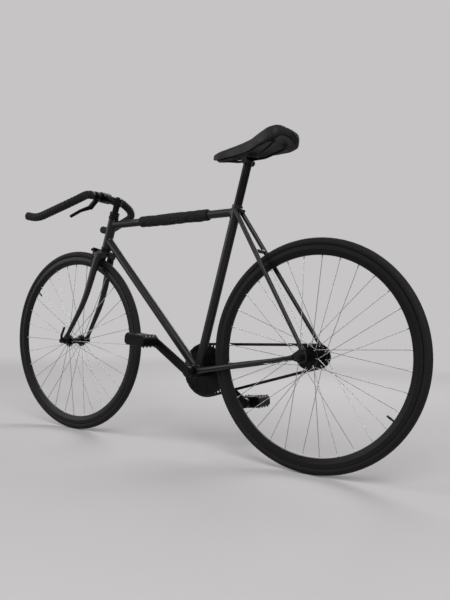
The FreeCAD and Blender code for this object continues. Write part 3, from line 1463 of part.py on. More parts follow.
def spider_places():
    """Centres of the chain ring bolts."""
    right_turn = CRANK_ANGLE + 180
    return [
        BRACKET + along(right_turn + 360.0 / SPIDER_ARMS * (index + 0.5)) * BOLT_CIRCLE_RADIUS
        for index in range(SPIDER_ARMS)
    ]


def ring_bolt(place):
    """One sleeve bolt that holds the ring on the spider."""
    inner = -CHAIN_LINE + SPROCKET_THICKNESS / 2 + SEAT_GAP
    outer = -CHAIN_LINE - SPROCKET_THICKNESS / 2 - SPIDER_THICKNESS - 2 * SEAT_GAP
    head = RING_BOLT_RADIUS + 1.5
    return fuse_all([
        cross_rod(place, RING_BOLT_RADIUS, inner, outer),
        cross_rod(place, head, inner, inner + RING_BOLT_HEAD),
        cross_rod(place, head, outer - RING_BOLT_HEAD, outer),
    ])


def crank_arm(side):
    """Arm from the spindle boss to the pedal eye, bored for the spindle and the pedal thread."""
    eye = BRACKET + LEFT_CRANK * CRANK_LENGTH
    boss = cross_rod(BRACKET, CRANK_BOSS_RADIUS, CRANK_BOSS_INNER, CRANK_BOSS_INNER + CRANK_BOSS_WIDTH)
    pedal_eye = cross_rod(eye, CRANK_EYE_RADIUS, CRANK_EYE_INNER, CRANK_EYE_INNER + CRANK_THICKNESS)
    across = LATERAL.cross(LEFT_CRANK)
    root_y = CRANK_BOSS_INNER + CRANK_BOSS_WIDTH - CRANK_THICKNESS
    sections = []
    for centre, width, y in ((BRACKET, CRANK_ROOT_WIDTH, root_y), (eye, CRANK_EYE_WIDTH, CRANK_EYE_INNER)):
        middle = V(centre.x, y + CRANK_THICKNESS / 2, centre.z)
        oval = Part.Ellipse(middle + across * (width / 2), middle + LATERAL * (CRANK_THICKNESS / 2), middle)
        sections.append(Part.Wire([oval.toShape()]))
    arm = Part.makeLoft(sections, True, True)
    body = fuse_all([boss, pedal_eye, arm])
    bores = [
        cross_rod(BRACKET, SPINDLE_RADIUS + SEAT_GAP, 0, PEDAL_INNER),
        cross_rod(BRACKET, CRANK_BOLT_RADIUS + SEAT_GAP, CRANK_BOSS_INNER + CRANK_BOSS_WIDTH, PEDAL_INNER),
        cross_rod(eye, PEDAL_SPINDLE_RADIUS + SEAT_GAP, 0, PEDAL_INNER),
    ]
    body = body.cut(bores)
    if side == RIGHT:
        body.rotate(BRACKET, LATERAL, 180)
    return sided(body, side)


def left_crank():
    return crank_arm(LEFT)


def right_crank():
    """Drive-side arm with its spider behind the ring bolts."""
    arm = crank_arm(RIGHT)
    face = -CHAIN_LINE - SPROCKET_THICKNESS / 2 - SEAT_GAP
    push = V(0, -SPIDER_THICKNESS, 0)
    centre = V(BRACKET.x, face, BRACKET.z)
    legs = [
        link_plate(centre, CRANK_BOSS_RADIUS, V(place.x, face, place.z), SPIDER_TIP_RADIUS, push)
        for place in spider_places()
    ]
    bores = [cross_rod(place, RING_BOLT_RADIUS + SEAT_GAP, 0, -PEDAL_INNER) for place in spider_places()]
    bores.append(cross_rod(BRACKET, SPINDLE_RADIUS + SEAT_GAP, 0, -PEDAL_INNER))
    return fuse_all([arm] + legs).cut(bores)


def spindle():
    """Bottom-bracket spindle with a capped bolt at each end."""
    end = CRANK_BOSS_INNER + CRANK_BOSS_WIDTH + SEAT_GAP
    body = cross_rod(BRACKET, SPINDLE_RADIUS, -end, end)
    caps = [
        cross_rod(BRACKET, CRANK_BOLT_RADIUS, side * end, side * (end + CRANK_BOLT_HEIGHT))
        for side in (LEFT, RIGHT)
    ]
    return fuse_all([body] + caps)


def pedal_centre(side):
    return BRACKET + LEFT_CRANK * (side * CRANK_LENGTH)


def pedal_spindle(side):
    """Pedal spindle with a flange against the crank eye."""
    centre = pedal_centre(side)
    face = CRANK_EYE_INNER + CRANK_THICKNESS + SEAT_GAP
    end = PEDAL_INNER + PEDAL_WIDTH - PEDAL_END_WALL - FREE_GAP
    body = cross_rod(centre, PEDAL_SPINDLE_RADIUS, CRANK_EYE_INNER, end)
    collar = cross_rod(centre, PEDAL_SPINDLE_RADIUS + 3, face, PEDAL_INNER - FREE_GAP)
    return sided(fuse_all([body, collar]), side)


def pedal_windows(centre):
    """Openings from top to bottom between the barrel and the front and rear bars."""
    inside = PEDAL_BARREL_RADIUS + 2
    length = PEDAL_LENGTH / 2 - PEDAL_BAR - inside
    width = PEDAL_WIDTH - 4 * PEDAL_END_WALL
    windows = []
    for start in (inside, -inside - length):
        corner = V(centre.x + start, PEDAL_INNER + 2 * PEDAL_END_WALL, centre.z - PEDAL_HEIGHT)
        window = Part.makeBox(length, width, 2 * PEDAL_HEIGHT, corner)
        upright = [edge for edge in window.Edges if abs(edge.tangentAt(edge.FirstParameter).z) > 0.9]
        windows.append(window.makeFillet(PEDAL_WINDOW_ROUNDING, upright))
    return windows


def grip_pins(centre):
    """Short pins in a row on the front and rear bars, through to both faces."""
    reach = PEDAL_LENGTH / 2 - PEDAL_BAR / 2
    length = PEDAL_HEIGHT + 2 * GRIP_PIN_RISE
    step = PEDAL_WIDTH / GRIP_PINS
    return [
        Part.makeCylinder(
            GRIP_PIN_RADIUS, length,
            V(centre.x + end * reach, PEDAL_INNER + step * (place + 0.5), centre.z - length / 2),
        )
        for end in (1, -1) for place in range(GRIP_PINS)
    ]


def pedal(side):
    """Platform pedal: a rounded block with two windows and rows of grip pins, tilted on its spindle."""
    centre = pedal_centre(side)
    corner = V(centre.x - PEDAL_LENGTH / 2, PEDAL_INNER, centre.z - PEDAL_HEIGHT / 2)
    block = Part.makeBox(PEDAL_LENGTH, PEDAL_WIDTH, PEDAL_HEIGHT, corner)
    lateral_edges = [edge for edge in block.Edges if abs(edge.tangentAt(edge.FirstParameter).y) > 0.9]
    block = block.makeFillet(PEDAL_ROUNDING, lateral_edges)
    rims = [
        edge for edge in block.Edges
        if abs(edge.BoundBox.YMax - edge.BoundBox.YMin) < PEDAL_EDGE_ROUNDING
    ]
    block = block.makeFillet(PEDAL_EDGE_ROUNDING, rims)
    bore_end = PEDAL_INNER + PEDAL_WIDTH - PEDAL_END_WALL
    bore = cross_rod(centre, PEDAL_SPINDLE_RADIUS + RUNNING_GAP, 0, bore_end)
    body = fuse_all([block.cut(pedal_windows(centre))] + grip_pins(centre)).cut(bore)
    body.rotate(centre, LATERAL, -side * PEDAL_TILT)
    return sided(body, side)


def cog():
    """Fixed cog on its threaded body, with the lock ring outside it."""
    disc = sprocket(REAR_AXLE, -CHAIN_LINE, COG_TEETH, COG_RADIUS, cog_phase())
    hub_end = -REAR_FLANGE_Y - FLANGE_THICKNESS / 2 - 6 - SEAT_GAP
    body = cross_rod(REAR_AXLE, COG_BODY_RADIUS, hub_end, -CHAIN_LINE)
    ring_start = -CHAIN_LINE - SPROCKET_THICKNESS / 2
    ring = cross_rod(REAR_AXLE, LOCKRING_RADIUS, ring_start + 0.5, ring_start - LOCKRING_HEIGHT)
    bore = cross_rod(REAR_AXLE, CONE_RADIUS + RUNNING_GAP, -2 * CHAIN_LINE, 0)
    return fuse_all([disc, body, ring]).cut(bore)


# Seat post and saddle

def saddle_point(forward, y, up):
    """Point from the rail clamp on the seat axis: level forward, lateral and up."""
    return seat_point(SADDLE_HEIGHT) + V(forward, y, up)


def post_head():
    """Middle of the cross head, just under the rails."""
    return seat_point(SADDLE_HEIGHT - RAIL_DROP - POST_HEAD_RADIUS)


def seatpost():
    """Hollow post with a cross head under the saddle rails."""
    low = seat_point(SEAT_TUBE_LENGTH - POST_INSERT)
    tube = rod(low, post_head(), POST_RADIUS)
    cross = cross_rod(post_head(), POST_HEAD_RADIUS, -POST_HEAD_WIDTH / 2, POST_HEAD_WIDTH / 2)
    hollow = rod(low, seat_point(SADDLE_HEIGHT - 4 * POST_HEAD_RADIUS), POST_RADIUS - POST_WALL)
    return fuse_all([tube, cross]).cut([hollow] + rail_rods(SEAT_GAP))


def rail_rods(grow):
    """Straight middle part of the two rails, larger all round by grow."""
    reach = CLAMP_PLATE_LENGTH
    return [
        rod(saddle_point(-reach, y, -RAIL_DROP), saddle_point(reach, y, -RAIL_DROP), RAIL_RADIUS + grow)
        for y in (RAIL_Y, -RAIL_Y)
    ]


def saddle_clamp():
    """Upper clamp plate that holds both rails on the post head."""
    half = CLAMP_PLATE_LENGTH / 2
    wide = POST_HEAD_WIDTH / 2
    corner = saddle_point(-half, -wide, FREE_GAP - RAIL_DROP)
    plate = prism(
        [corner, corner + V(2 * half, 0, 0), corner + V(2 * half, 2 * wide, 0), corner + V(0, 2 * wide, 0)],
        V(0, 0, CLAMP_PLATE_HEIGHT),
    )
    top = corner.z + CLAMP_PLATE_HEIGHT
    plate = plate.makeFillet(2.0, [edge for edge in plate.Edges if abs(edge.CenterOfMass.z - top) < 0.01])
    head = cross_rod(post_head(), POST_HEAD_RADIUS + SEAT_GAP, -2 * wide, 2 * wide)
    return plate.cut([head] + rail_rods(SEAT_GAP))


def saddle_hollow(half):
    """Rise of the hollow underside in the middle of a station."""
    return min(SADDLE_HOLLOW * half, SADDLE_HOLLOW_MAX)


def saddle_section(station):
    """Closed outline of one station: drawn-in sides, a crowned top and a hollow underside."""
    forward, half, low, shoulder, crown = station
    drawn_in = half * 0.93
    waist = (low + shoulder) / 2
    right_low = saddle_point(forward, -drawn_in, low)
    right_top = saddle_point(forward, -half * 0.9, shoulder)
    left_top = saddle_point(forward, half * 0.9, shoulder)
    left_low = saddle_point(forward, drawn_in, low)
    return Part.Wire([
        Part.Arc(right_low, saddle_point(forward, -half, waist), right_top).toShape(),
        Part.Arc(right_top, saddle_point(forward, 0, crown), left_top).toShape(),
        Part.Arc(left_top, saddle_point(forward, half, waist), left_low).toShape(),
        Part.Arc(left_low, saddle_point(forward, 0, low + saddle_hollow(half)), right_low).toShape(),
    ])


def saddle():
    """Padded saddle cover: a crowned loft from the nose to the tail."""
    return Part.makeLoft([saddle_section(station) for station in SADDLE_STATIONS], True, False)


def shell_section(station):
    """Outline of the base shell at one station, under the hollow of the cover."""
    forward, half, low, _, _ = station
    drawn_in = half * 0.93
    rise = saddle_hollow(half)
    arch = (drawn_in * drawn_in + rise * rise) / (2 * rise)
    wide = drawn_in * 0.82
    edge = low + rise - arch + math.sqrt(arch * arch - wide * wide) - SHELL_COVER_GAP
    middle = low + rise - SHELL_COVER_GAP
    drop = V(0, 0, -SHELL_THICKNESS)
    right = saddle_point(forward, -wide, edge)
    top = saddle_point(forward, 0, middle)
    left = saddle_point(forward, wide, edge)
    return Part.Wire([
        Part.Arc(right, top, left).toShape(),
        Part.LineSegment(left, left + drop).toShape(),
        Part.Arc(left + drop, top + drop, right + drop).toShape(),
        Part.LineSegment(right + drop, right).toShape(),
    ])


def saddle_shell():
    """Base shell under the cover, cut away round the rail ends."""
    plate = Part.makeLoft([shell_section(station) for station in SADDLE_STATIONS[1:-1]], True, False)
    for wire in saddle_rails(SEAT_GAP).Solids:
        plate = plate.cut(wire)
    return largest(plate)


def saddle_rails(grow=0.0):
    """Two bent wires from the nose of the shell, through the clamp, to its tail."""
    nose = SADDLE_STATIONS[1]
    tail = SADDLE_STATIONS[-3]
    wires = []
    for side in (LEFT, RIGHT):
        wires.append(bent_rod(
            [
                saddle_point(nose[0] - 12, side * 6, nose[2] + RAIL_SEAT),
                saddle_point(CLAMP_PLATE_LENGTH + 20, side * RAIL_Y, -RAIL_DROP),
                saddle_point(-CLAMP_PLATE_LENGTH - 14, side * RAIL_Y, -RAIL_DROP),
                saddle_point(tail[0], side * (RAIL_Y + 20), tail[2] + RAIL_SEAT),
            ],
            [RAIL_BEND, RAIL_BEND],
            RAIL_RADIUS + grow,
        ))
    return Part.makeCompound(wires)


def both(piece):
    """One node with the left and the right copy of a piece."""
    return Part.makeCompound([piece(LEFT), piece(RIGHT)])


def build():
    save("head_tube", head_tube())
    save("top_tube", top_tube())
    save("down_tube", down_tube())
    save("seat_tube", seat_tube())
    save("seat_binder_bolt", seat_binder_bolt())
    save("bottom_bracket_shell", bottom_bracket_shell())
    save("bottom_bracket_cups", both(bottom_bracket_cup))
    for side, name in ((LEFT, "left"), (RIGHT, "right")):
        save("chainstay_" + name, chainstay(side))
        save("seatstay_" + name, seatstay(side))
        save("fork_blade_" + name, fork_blade(side))
        save("caliper_arm_" + name, caliper_arm(side))
        save("brake_shoe_" + name, brake_shoe(side))
        save("pedal_" + name, pedal(side))
    save("dropouts", both(dropout))
    save("brake_bridge", brake_bridge())
    save("top_tube_pad", top_tube_pad())
    save("headset_cups", Part.makeCompound([headset_cup(HEAD_BOTTOM, -1), headset_cup(HEAD_TOP, 1)]))
    save("headset_races", Part.makeCompound([crown_race(), top_race(), headset_locknut()]))
    save("fork_crown", fuse_all([fork_crown(), steerer()]))
    save("stem", stem())
    save("stem_bolt", stem_bolt())
    save("handlebar", handlebar())
    save("bar_tape", both(bar_tape))
    save("bar_plugs", both(bar_plug))
    save("lever_bracket", lever_bracket())
    save("brake_lever", brake_lever())
    save("caliper_bolt", caliper_bolt())
    save("front_axle", front_axle())
    save("skewer", skewer())
    save("quick_release_lever", quick_release_lever())
    save("front_tyre", tyre(FRONT_AXLE))
    save("front_rim", rim(FRONT_AXLE, FRONT_VALVE_TURN))
    save("front_valve", valve(FRONT_AXLE, FRONT_VALVE_TURN))
    save("front_spokes", spokes(FRONT_AXLE, FRONT_FLANGE_RADIUS, FRONT_FLANGE_Y, 0, FRONT_VALVE_TURN))
    save("front_hub", hub_shell(FRONT_AXLE, FRONT_FLANGE_RADIUS, FRONT_FLANGE_Y))
    save("rear_tyre", tyre(REAR_AXLE))
    save("rear_rim", rim(REAR_AXLE, REAR_VALVE_TURN))
    save("rear_valve", valve(REAR_AXLE, REAR_VALVE_TURN))
    save(
        "rear_spokes", spokes(REAR_AXLE, REAR_FLANGE_RADIUS, REAR_FLANGE_Y, SPOKE_CROSSES, REAR_VALVE_TURN)
    )
    save("rear_hub", hub_shell(REAR_AXLE, REAR_FLANGE_RADIUS, REAR_FLANGE_Y))
    save("rear_axle", Part.makeCompound([rear_axle(), axle_nut(LEFT), axle_nut(RIGHT)]))
    save("cog", cog())
    save("chain", chain())
    save("chainring", chainring())
    save("chainring_bolts", Part.makeCompound([ring_bolt(place) for place in spider_places()]))
    save("crank_left", left_crank())
    save("crank_right", right_crank())
    save("spindle", spindle())
    save("pedal_spindles", both(pedal_spindle))
    save("seatpost", seatpost())
    save("saddle_clamp", saddle_clamp())
    save("saddle_rails", saddle_rails())
    save("saddle_shell", saddle_shell())
    save("saddle", saddle())


os.makedirs("parts", exist_ok=True)
build()
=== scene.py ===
import math

import bmesh
import bpy
import numpy as np
from bpy.props import FloatProperty, FloatVectorProperty, IntProperty, PointerProperty
from mathutils import Matrix, Vector


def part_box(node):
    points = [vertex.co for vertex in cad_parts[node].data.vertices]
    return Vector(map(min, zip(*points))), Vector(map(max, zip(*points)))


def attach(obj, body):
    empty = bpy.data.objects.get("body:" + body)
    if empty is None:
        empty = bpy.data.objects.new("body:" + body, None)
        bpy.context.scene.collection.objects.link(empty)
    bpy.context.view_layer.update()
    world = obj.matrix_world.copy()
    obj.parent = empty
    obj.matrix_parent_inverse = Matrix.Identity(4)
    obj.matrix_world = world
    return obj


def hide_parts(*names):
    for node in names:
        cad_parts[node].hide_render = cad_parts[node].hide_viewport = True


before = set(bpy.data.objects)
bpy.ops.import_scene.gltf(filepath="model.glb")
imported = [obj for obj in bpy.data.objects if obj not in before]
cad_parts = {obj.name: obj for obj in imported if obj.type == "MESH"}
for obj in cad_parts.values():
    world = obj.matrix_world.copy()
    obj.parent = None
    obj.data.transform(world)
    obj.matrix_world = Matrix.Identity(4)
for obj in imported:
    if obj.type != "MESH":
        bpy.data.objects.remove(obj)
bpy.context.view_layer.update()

bl_info = {
    "name": "Fixed gear bicycle",
    "version": (1, 0, 0),
    "blender": (4, 5, 0),
    "location": "View3D > Sidebar > Bicycle",
    "description": "Dresses the bicycle in enamel, anodised alloy, rubber, wound tape, leather and cloth",
    "category": "Object",
}

MM = 0.001
UP = np.array([0.0, 0.0, 1.0])
LATERAL = np.array([0.0, 1.0, 0.0])
SIDES = (("left", 1), ("right", -1))


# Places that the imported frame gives

def middle_of(node):
    """Middle of a node's box."""
    low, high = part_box(node)
    return (np.array(low) + np.array(high)) / 2


def leaning(degrees):
    """Unit vector at an angle from level, leaning back: (-cos a, 0, sin a)."""
    return np.array([-math.cos(math.radians(degrees)), 0.0, math.sin(math.radians(degrees))])


FRONT_AXLE = middle_of("front_tyre")
REAR_AXLE = middle_of("rear_tyre")
TYRE_RADIUS = float(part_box("front_tyre")[1].z) / 2
TYRE_WIDTH = float(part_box("front_tyre")[1].y) * 2
BRACKET = middle_of("bottom_bracket_shell")

# Places and sizes that repeat those of the solids
FORK_OFFSET = 45.0 * MM
BAR_UP, BAR_AHEAD = 539.0 * MM, 68.0 * MM
SADDLE_UP = 676.5 * MM
STEER_UP = leaning(72.0)
SEAT_UP = leaning(75.2)
STEER_FORWARD = np.array([STEER_UP[2], 0.0, -STEER_UP[0]])
STEER_FOOT = FRONT_AXLE - STEER_FORWARD * FORK_OFFSET
BAR_CENTRE = STEER_FOOT + STEER_UP * BAR_UP + STEER_FORWARD * BAR_AHEAD
SADDLE_PLACE = BRACKET + SEAT_UP * SADDLE_UP
TOP_TUBE_START = np.array([-223.20, 0, 759.98]) * MM
TOP_TUBE_END = np.array([311.48, 0, 754.73]) * MM
DOWN_TUBE_TOP = STEER_FOOT + STEER_UP * 404.0 * MM
TOP_TUBE_RADIUS, DOWN_TUBE_RADIUS, SEAT_TUBE_RADIUS = 12.7 * MM, 14.3 * MM, 14.3 * MM
HEAD_TUBE_RADIUS, SEAT_LUG_RADIUS, SHELL_RADIUS = 15.9 * MM, 16.6 * MM, 20.0 * MM


# Helpers for colours, meshes and lines

def linear(code):
    """sRGB hex code to linear red, green and blue."""
    srgb = np.array([int(code[at:at + 2], 16) for at in (1, 3, 5)]) / 255
    return tuple(float(c) for c in np.where(srgb <= 0.04045, srgb / 12.92, ((srgb + 0.055) / 1.055) ** 2.4))


def per_mm(size):
    """Pattern scale, in repeats per metre, of a feature that is size millimetres wide."""
    return 1 / (size * MM)


def unit(vectors):
    """Vectors of length 1 in the same directions."""
    return vectors / np.linalg.norm(vectors, axis=-1, keepdims=True)


def grid(points, uv=None, close_rows=False, close_columns=False):
    """Vertices, quads and corner UVs of points[batch, row, column]; a quad joins two rows and two columns."""
    points = points.reshape((-1,) + points.shape[-3:])
    index = np.arange(points[..., 0].size).reshape(points.shape[:3])
    if close_rows:
        index = np.concatenate([index, index[:, :1]], 1)
    if close_columns:
        index = np.concatenate([index, index[:, :, :1]], 2)
    uv = np.zeros(index.shape + (2,)) if uv is None else uv.reshape(index.shape + (2,))
    corners = [
        (array[:, :-1, :-1], array[:, 1:, :-1], array[:, 1:, 1:], array[:, :-1, 1:]) for array in (index, uv)
    ]
    quads = np.stack(corners[0], -1).reshape(-1, 4)
    return points.reshape(-1, 3), quads, np.stack(corners[1], -2).reshape(-1, 2)


def new_mesh(name, vertices, faces):
    """A mesh of those vertices and faces."""
    mesh = bpy.data.meshes.new(name)
    mesh.from_pydata(vertices, [], faces)
    return mesh


def placed(name, data):
    """A new object of that data in the scene."""
    made = bpy.data.objects.new(name, data)
    bpy.context.scene.collection.objects.link(made)
    return made


FINISHES = {}


def piece(name, grids, body, slot, stands_for=(), finish=None):
    """Joins grids into one smooth mesh at the origin, closes its seams and poles, and rides it on a body.

    Its finish is the slot's own unless another is named.
    """
    starts = np.cumsum([0] + [len(points) for points, _, _ in grids])
    mesh = new_mesh(
        name,
        np.concatenate([points for points, _, _ in grids]),
        np.concatenate([quads + start for (_, quads, _), start in zip(grids, starts)]),
    )
    layer = mesh.uv_layers.new(name="Surface")
    layer.uv.foreach_set("vector", np.concatenate([uv for _, _, uv in grids]).astype(np.float32).ravel())
    shape = bmesh.new()
    shape.from_mesh(mesh)
    bmesh.ops.remove_doubles(shape, verts=shape.verts, dist=0.002 * MM)
    bmesh.ops.recalc_face_normals(shape, faces=shape.faces)
    shape.to_mesh(mesh)
    shape.free()
    mesh.polygons.foreach_set("use_smooth", np.ones(len(mesh.polygons), bool))
    mesh.materials.append(FINISHES[finish or slot])
    made = placed(name, mesh)
    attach(made, body)
    if stands_for:
        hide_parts(*stands_for)
    return made


def eased(low, high, value):
    """Smooth step from 0 at low to 1 at high."""
    share = np.clip((value - low) / (high - low), 0, 1)
    return share * share * (3 - 2 * share)


def through(known, values, at):
    """Cubic Hermite curve through (known, values), known rising, with the slopes of their neighbours.

    Values may have more axes than the first, which is the one that the curve runs along.
    """
    slopes = np.gradient(values, known, axis=0)
    k = np.clip(np.searchsorted(known, at) - 1, 0, len(known) - 2)
    more = np.shape(at) + (1,) * (values.ndim - 1)
    span = (known[k + 1] - known[k]).reshape(more)
    t = (at - known[k]).reshape(more) / span
    return (
        values[k] * (1 + 2 * t) * (1 - t) ** 2 + slopes[k] * span * t * (1 - t) ** 2
        + values[k + 1] * t * t * (3 - 2 * t) + slopes[k + 1] * span * t * t * (t - 1)
    )


def run_of(points):
    """Distance of each point along the line through them."""
    return np.concatenate([[0], np.cumsum(np.linalg.norm(np.diff(points, axis=0), axis=1))])


def point_at(distance, run, points):
    """Point at a distance along the line through points, whose own distances are the run."""
    return np.stack([np.interp(distance, run, axis) for axis in points.T], -1)


class Line:
    """A line through space by arc length: straight runs joined by tangent arcs at the corners."""

    def __init__(self, corners, bends=()):
        corners = np.array(corners, float)
        parts = [corners[:1]]
        for corner, before, after, bend in zip(corners[1:-1], corners[:-2], corners[2:], bends):
            back, ahead = unit(before - corner), unit(after - corner)
            half = math.acos(float(back @ ahead)) / 2
            centre = corner + unit(back + ahead) * bend / math.sin(half)
            enter = corner + back * bend / math.tan(half) - centre
            leave = corner + ahead * bend / math.tan(half) - centre
            turn = math.pi - 2 * half
            share = np.linspace(0, 1, 48)[:, None]
            arc = (np.sin((1 - share) * turn) * enter + np.sin(share * turn) * leave) / math.sin(turn)
            parts.append(centre + arc)
        parts.append(corners[-1:])
        self.points = np.concatenate(parts)
        self.run = run_of(self.points)
        self.length = self.run[-1]

    def at(self, distance):
        """Point at a distance along the line."""
        return point_at(distance, self.run, self.points)

    def round_it(self, distance, angle, radius):
        """Points at a radius from the line: P(s) + r (cos a side + sin a over), side = tangent x up."""
        step = 0.4 * MM
        ahead = unit(
            self.at(np.minimum(distance + step, self.length)) - self.at(np.maximum(distance - step, 0))
        )
        side = unit(np.cross(ahead, UP))
        over = np.cross(side, ahead)
        out = np.cos(angle)[..., None] * side + np.sin(angle)[..., None] * over
        return self.at(distance) + np.asarray(radius)[..., None] * out


def circle(count):
    """Even angles round one turn."""
    return np.arange(count) * 2 * math.pi / count


# Shader helpers

def add(tree, kind, inputs=(), stops=(), out=0, **settings):
    """Adds one node: settings are its properties, inputs its sockets, each a value or a socket to link."""
    node = tree.nodes.new("ShaderNode" + kind)
    for name, value in settings.items():
        setattr(node, name, value)
    for place, (at, tint) in enumerate(stops):
        element = node.color_ramp.elements[place] if place < 2 else node.color_ramp.elements.new(at)
        element.position = at
        element.color = (*tint, 1.0)
    for name, value in dict(inputs).items():
        if isinstance(value, bpy.types.NodeSocket):
            tree.links.new(value, node.inputs[name])
        else:
            node.inputs[name].default_value = value
    return node.outputs[out] if node.outputs else node


def spread(tree, value, start, end, low=0.0, high=1.0, curve="LINEAR"):
    """Value carried from start..end to low..high."""
    inputs = {"Value": value, "From Min": start, "From Max": end, "To Min": low, "To Max": high}
    return add(tree, "MapRange", inputs, interpolation_type=curve)


def noise(tree, place, size, detail, roughness=0.5, out=0):
    """Noise whose patches are size millimetres wide."""
    inputs = {"Vector": place, "Scale": per_mm(size), "Detail": detail, "Roughness": roughness}
    return add(tree, "TexNoise", inputs, out=out)


def times(tree, first, second):
    """Product of two values."""
    return add(tree, "Math", {0: first, 1: second}, operation="MULTIPLY")


def raised(tree, height, strength, depth):
    """Bump by a height, depth millimetres deep."""
    return add(tree, "Bump", {"Strength": strength, "Distance": depth * MM, "Height": height})


def shades(base, *stops):
    """Colour stops, each at a place and with the base colour times a factor."""
    return [(at, tuple(c * factor for c in base)) for at, factor in stops]


def blended(tree, share, first, second):
    """Mix of two colours; a Mix node's colour sockets are 6 and 7, and 2 on the way out."""
    return add(tree, "Mix", {0: share, 6: first, 7: second}, out=2, data_type="RGBA")


def new_finish(name, coordinates="Object"):
    """An empty material, its node tree and the coordinates that its patterns read."""
    material = bpy.data.materials.new(name)
    material.use_nodes = True
    tree = material.node_tree
    tree.nodes.clear()
    return material, tree, add(tree, "TexCoord", out=coordinates)


def close_finish(material, tree, tone, rough, bump, more=()):
    """Ends a material in one shader; more are its other sockets."""
    sockets = {"Base Color": tone, "Roughness": rough, "Normal": bump, **dict(more)}
    add(tree, "OutputMaterial", {"Surface": add(tree, "BsdfPrincipled", sockets)})
    return material


def worn_edges(tree, place, width):
    """Share of wear: 1 on edges that a rounding of that width would touch, in 14 mm patches."""
    rounded = add(tree, "Bevel", {"Radius": width * MM}, samples=4)
    flat = add(tree, "NewGeometry", out="Normal")
    meet = add(tree, "VectorMath", {0: rounded, 1: flat}, out="Value", operation="DOT_PRODUCT")
    edge = spread(tree, meet, 0.99, 0.86)
    patch = noise(tree, place, 14, 4.0)
    patch = spread(tree, patch, 0.42, 0.64)
    return times(tree, edge, patch)


# Finishes

def enamel_finish(colours):
    # Stoved enamel over steel tube: deep black, soft gloss, faint orange peel and a little dust.
    material, tree, place = new_finish("stoved_black_enamel")
    mottle = noise(tree, place, 90, 5.0, 0.6)
    tone = add(tree, "ValToRGB", {"Fac": mottle}, shades(colours.enamel, (0.32, 0.75), (0.68, 1.5)))
    wear = worn_edges(tree, place, 0.9)
    tone = blended(tree, wear, tone, (*linear("#2C2D2F"), 1))
    dust = noise(tree, place, 2.2, 2.0)
    rough = spread(tree, dust, 0.3, 0.75, 0.3, 0.5)
    # Orange peel is about 1 mm; drawn at 2.5 mm so that it shows.
    peel = noise(tree, place, 2.5, 1.0)
    bump = raised(tree, peel, 0.1, 0.15)
    return close_finish(material, tree, tone, rough, bump, {"IOR": 1.5, "Specular IOR Level": 0.3})


def anodised_finish(colours, name="bead_blasted_black_anodised_aluminium", grit=0.9):
    # Bead-blasted aluminium dyed black: satin grey-black, fine grit, bare metal where edges rub.
    material, tree, place = new_finish(name)
    cloud = noise(tree, place, 45, 4.0)
    tone = add(tree, "ValToRGB", {"Fac": cloud}, shades(colours.anodised, (0.3, 0.8), (0.72, 1.5)))
    wear = worn_edges(tree, place, 0.8)
    tone = blended(tree, wear, tone, (*linear("#4A4B4E"), 1))
    blast = noise(tree, place, grit, 2.0)
    rough = spread(tree, blast, 0.3, 0.7, 0.34, 0.52)
    bump = raised(tree, blast, 0.2, 0.08)
    return close_finish(material, tree, tone, rough, bump, {"Metallic": 0.8, "Specular IOR Level": 0.3})


# Radii between which the brake blocks start to rub the rim
RUB_RADII = (301.5 * MM, 303.5 * MM)


def rim_finish(colours, name, axle):
    # Anodised rim: satin nose, and side walls turned in fine rings, paler where the brake blocks rub.
    material, tree, place = new_finish(name)
    centred = add(tree, "Mapping", {"Vector": place, "Location": tuple(-axle), "Scale": (1, 0, 1)})
    reach = add(tree, "VectorMath", {0: centred}, out="Value", operation="LENGTH")
    # Turning marks are about 0.1 mm apart; drawn at 0.9 mm so that they show.
    marks = times(tree, reach, per_mm(0.9))
    rings = add(tree, "TexNoise", {"W": marks, "Scale": 1.0, "Detail": 3.0}, noise_dimensions="1D")
    cloud = noise(tree, place, 40, 4.0)
    rub = spread(tree, reach, *RUB_RADII)
    patch = spread(tree, cloud, 0, 1, 0.25, 0.75)
    rub = times(tree, rub, patch)
    tone = blended(tree, rub, (*colours.anodised, 1), (*linear("#202123"), 1))
    rough = spread(tree, rings, 0.3, 0.7, 0.3, 0.5)
    bump = raised(tree, rings, 0.25, 0.06)
    return close_finish(material, tree, tone, rough, bump, {"Metallic": 0.75})


def mottled_finish(name, patch, stops, gloss, relief, worn=None, more=()):
    """A finish whose tone, roughness and bump all come from one noise, with edges worn to another colour.

    Patch is the noise's size in millimetres, detail and roughness; gloss is the spread from noise to
    roughness; relief is the bump's strength and its depth in millimetres; worn is the width of the worn
    edges in millimetres and their colour.
    """
    material, tree, place = new_finish(name)
    mottle = noise(tree, place, *patch)
    tone = add(tree, "ValToRGB", {"Fac": mottle}, stops)
    if worn:
        width, bare = worn
        tone = blended(tree, worn_edges(tree, place, width), tone, (*linear(bare), 1))
    rough = spread(tree, mottle, *gloss)
    bump = raised(tree, mottle, *relief)
    return close_finish(material, tree, tone, rough, bump, more)


def steel_finish(colours):
    # Black-oxide steel fasteners: dull blue-black with oily blotches and rubbed corners.
    return mottled_finish(
        "black_oxide_steel", (6, 4.0), shades(colours.steel, (0.3, 0.7), (0.7, 1.6)),
        (0.3, 0.7, 0.3, 0.55), (0.15, 0.05), (0.5, "#77787A"), {"Metallic": 0.9},
    )


def chain_finish(colours):
    # Oiled black chain: dark plates under a dull greasy film with dirt in it, brighter where edges run.
    return mottled_finish(
        "oiled_black_chain_steel", (9, 6.0, 0.7), shades(colours.chain, (0.3, 0.6), (0.7, 1.7)),
        (0.3, 0.7, 0.28, 0.6), (0.2, 0.08), (0.45, "#808184"), {"Metallic": 0.85},
    )


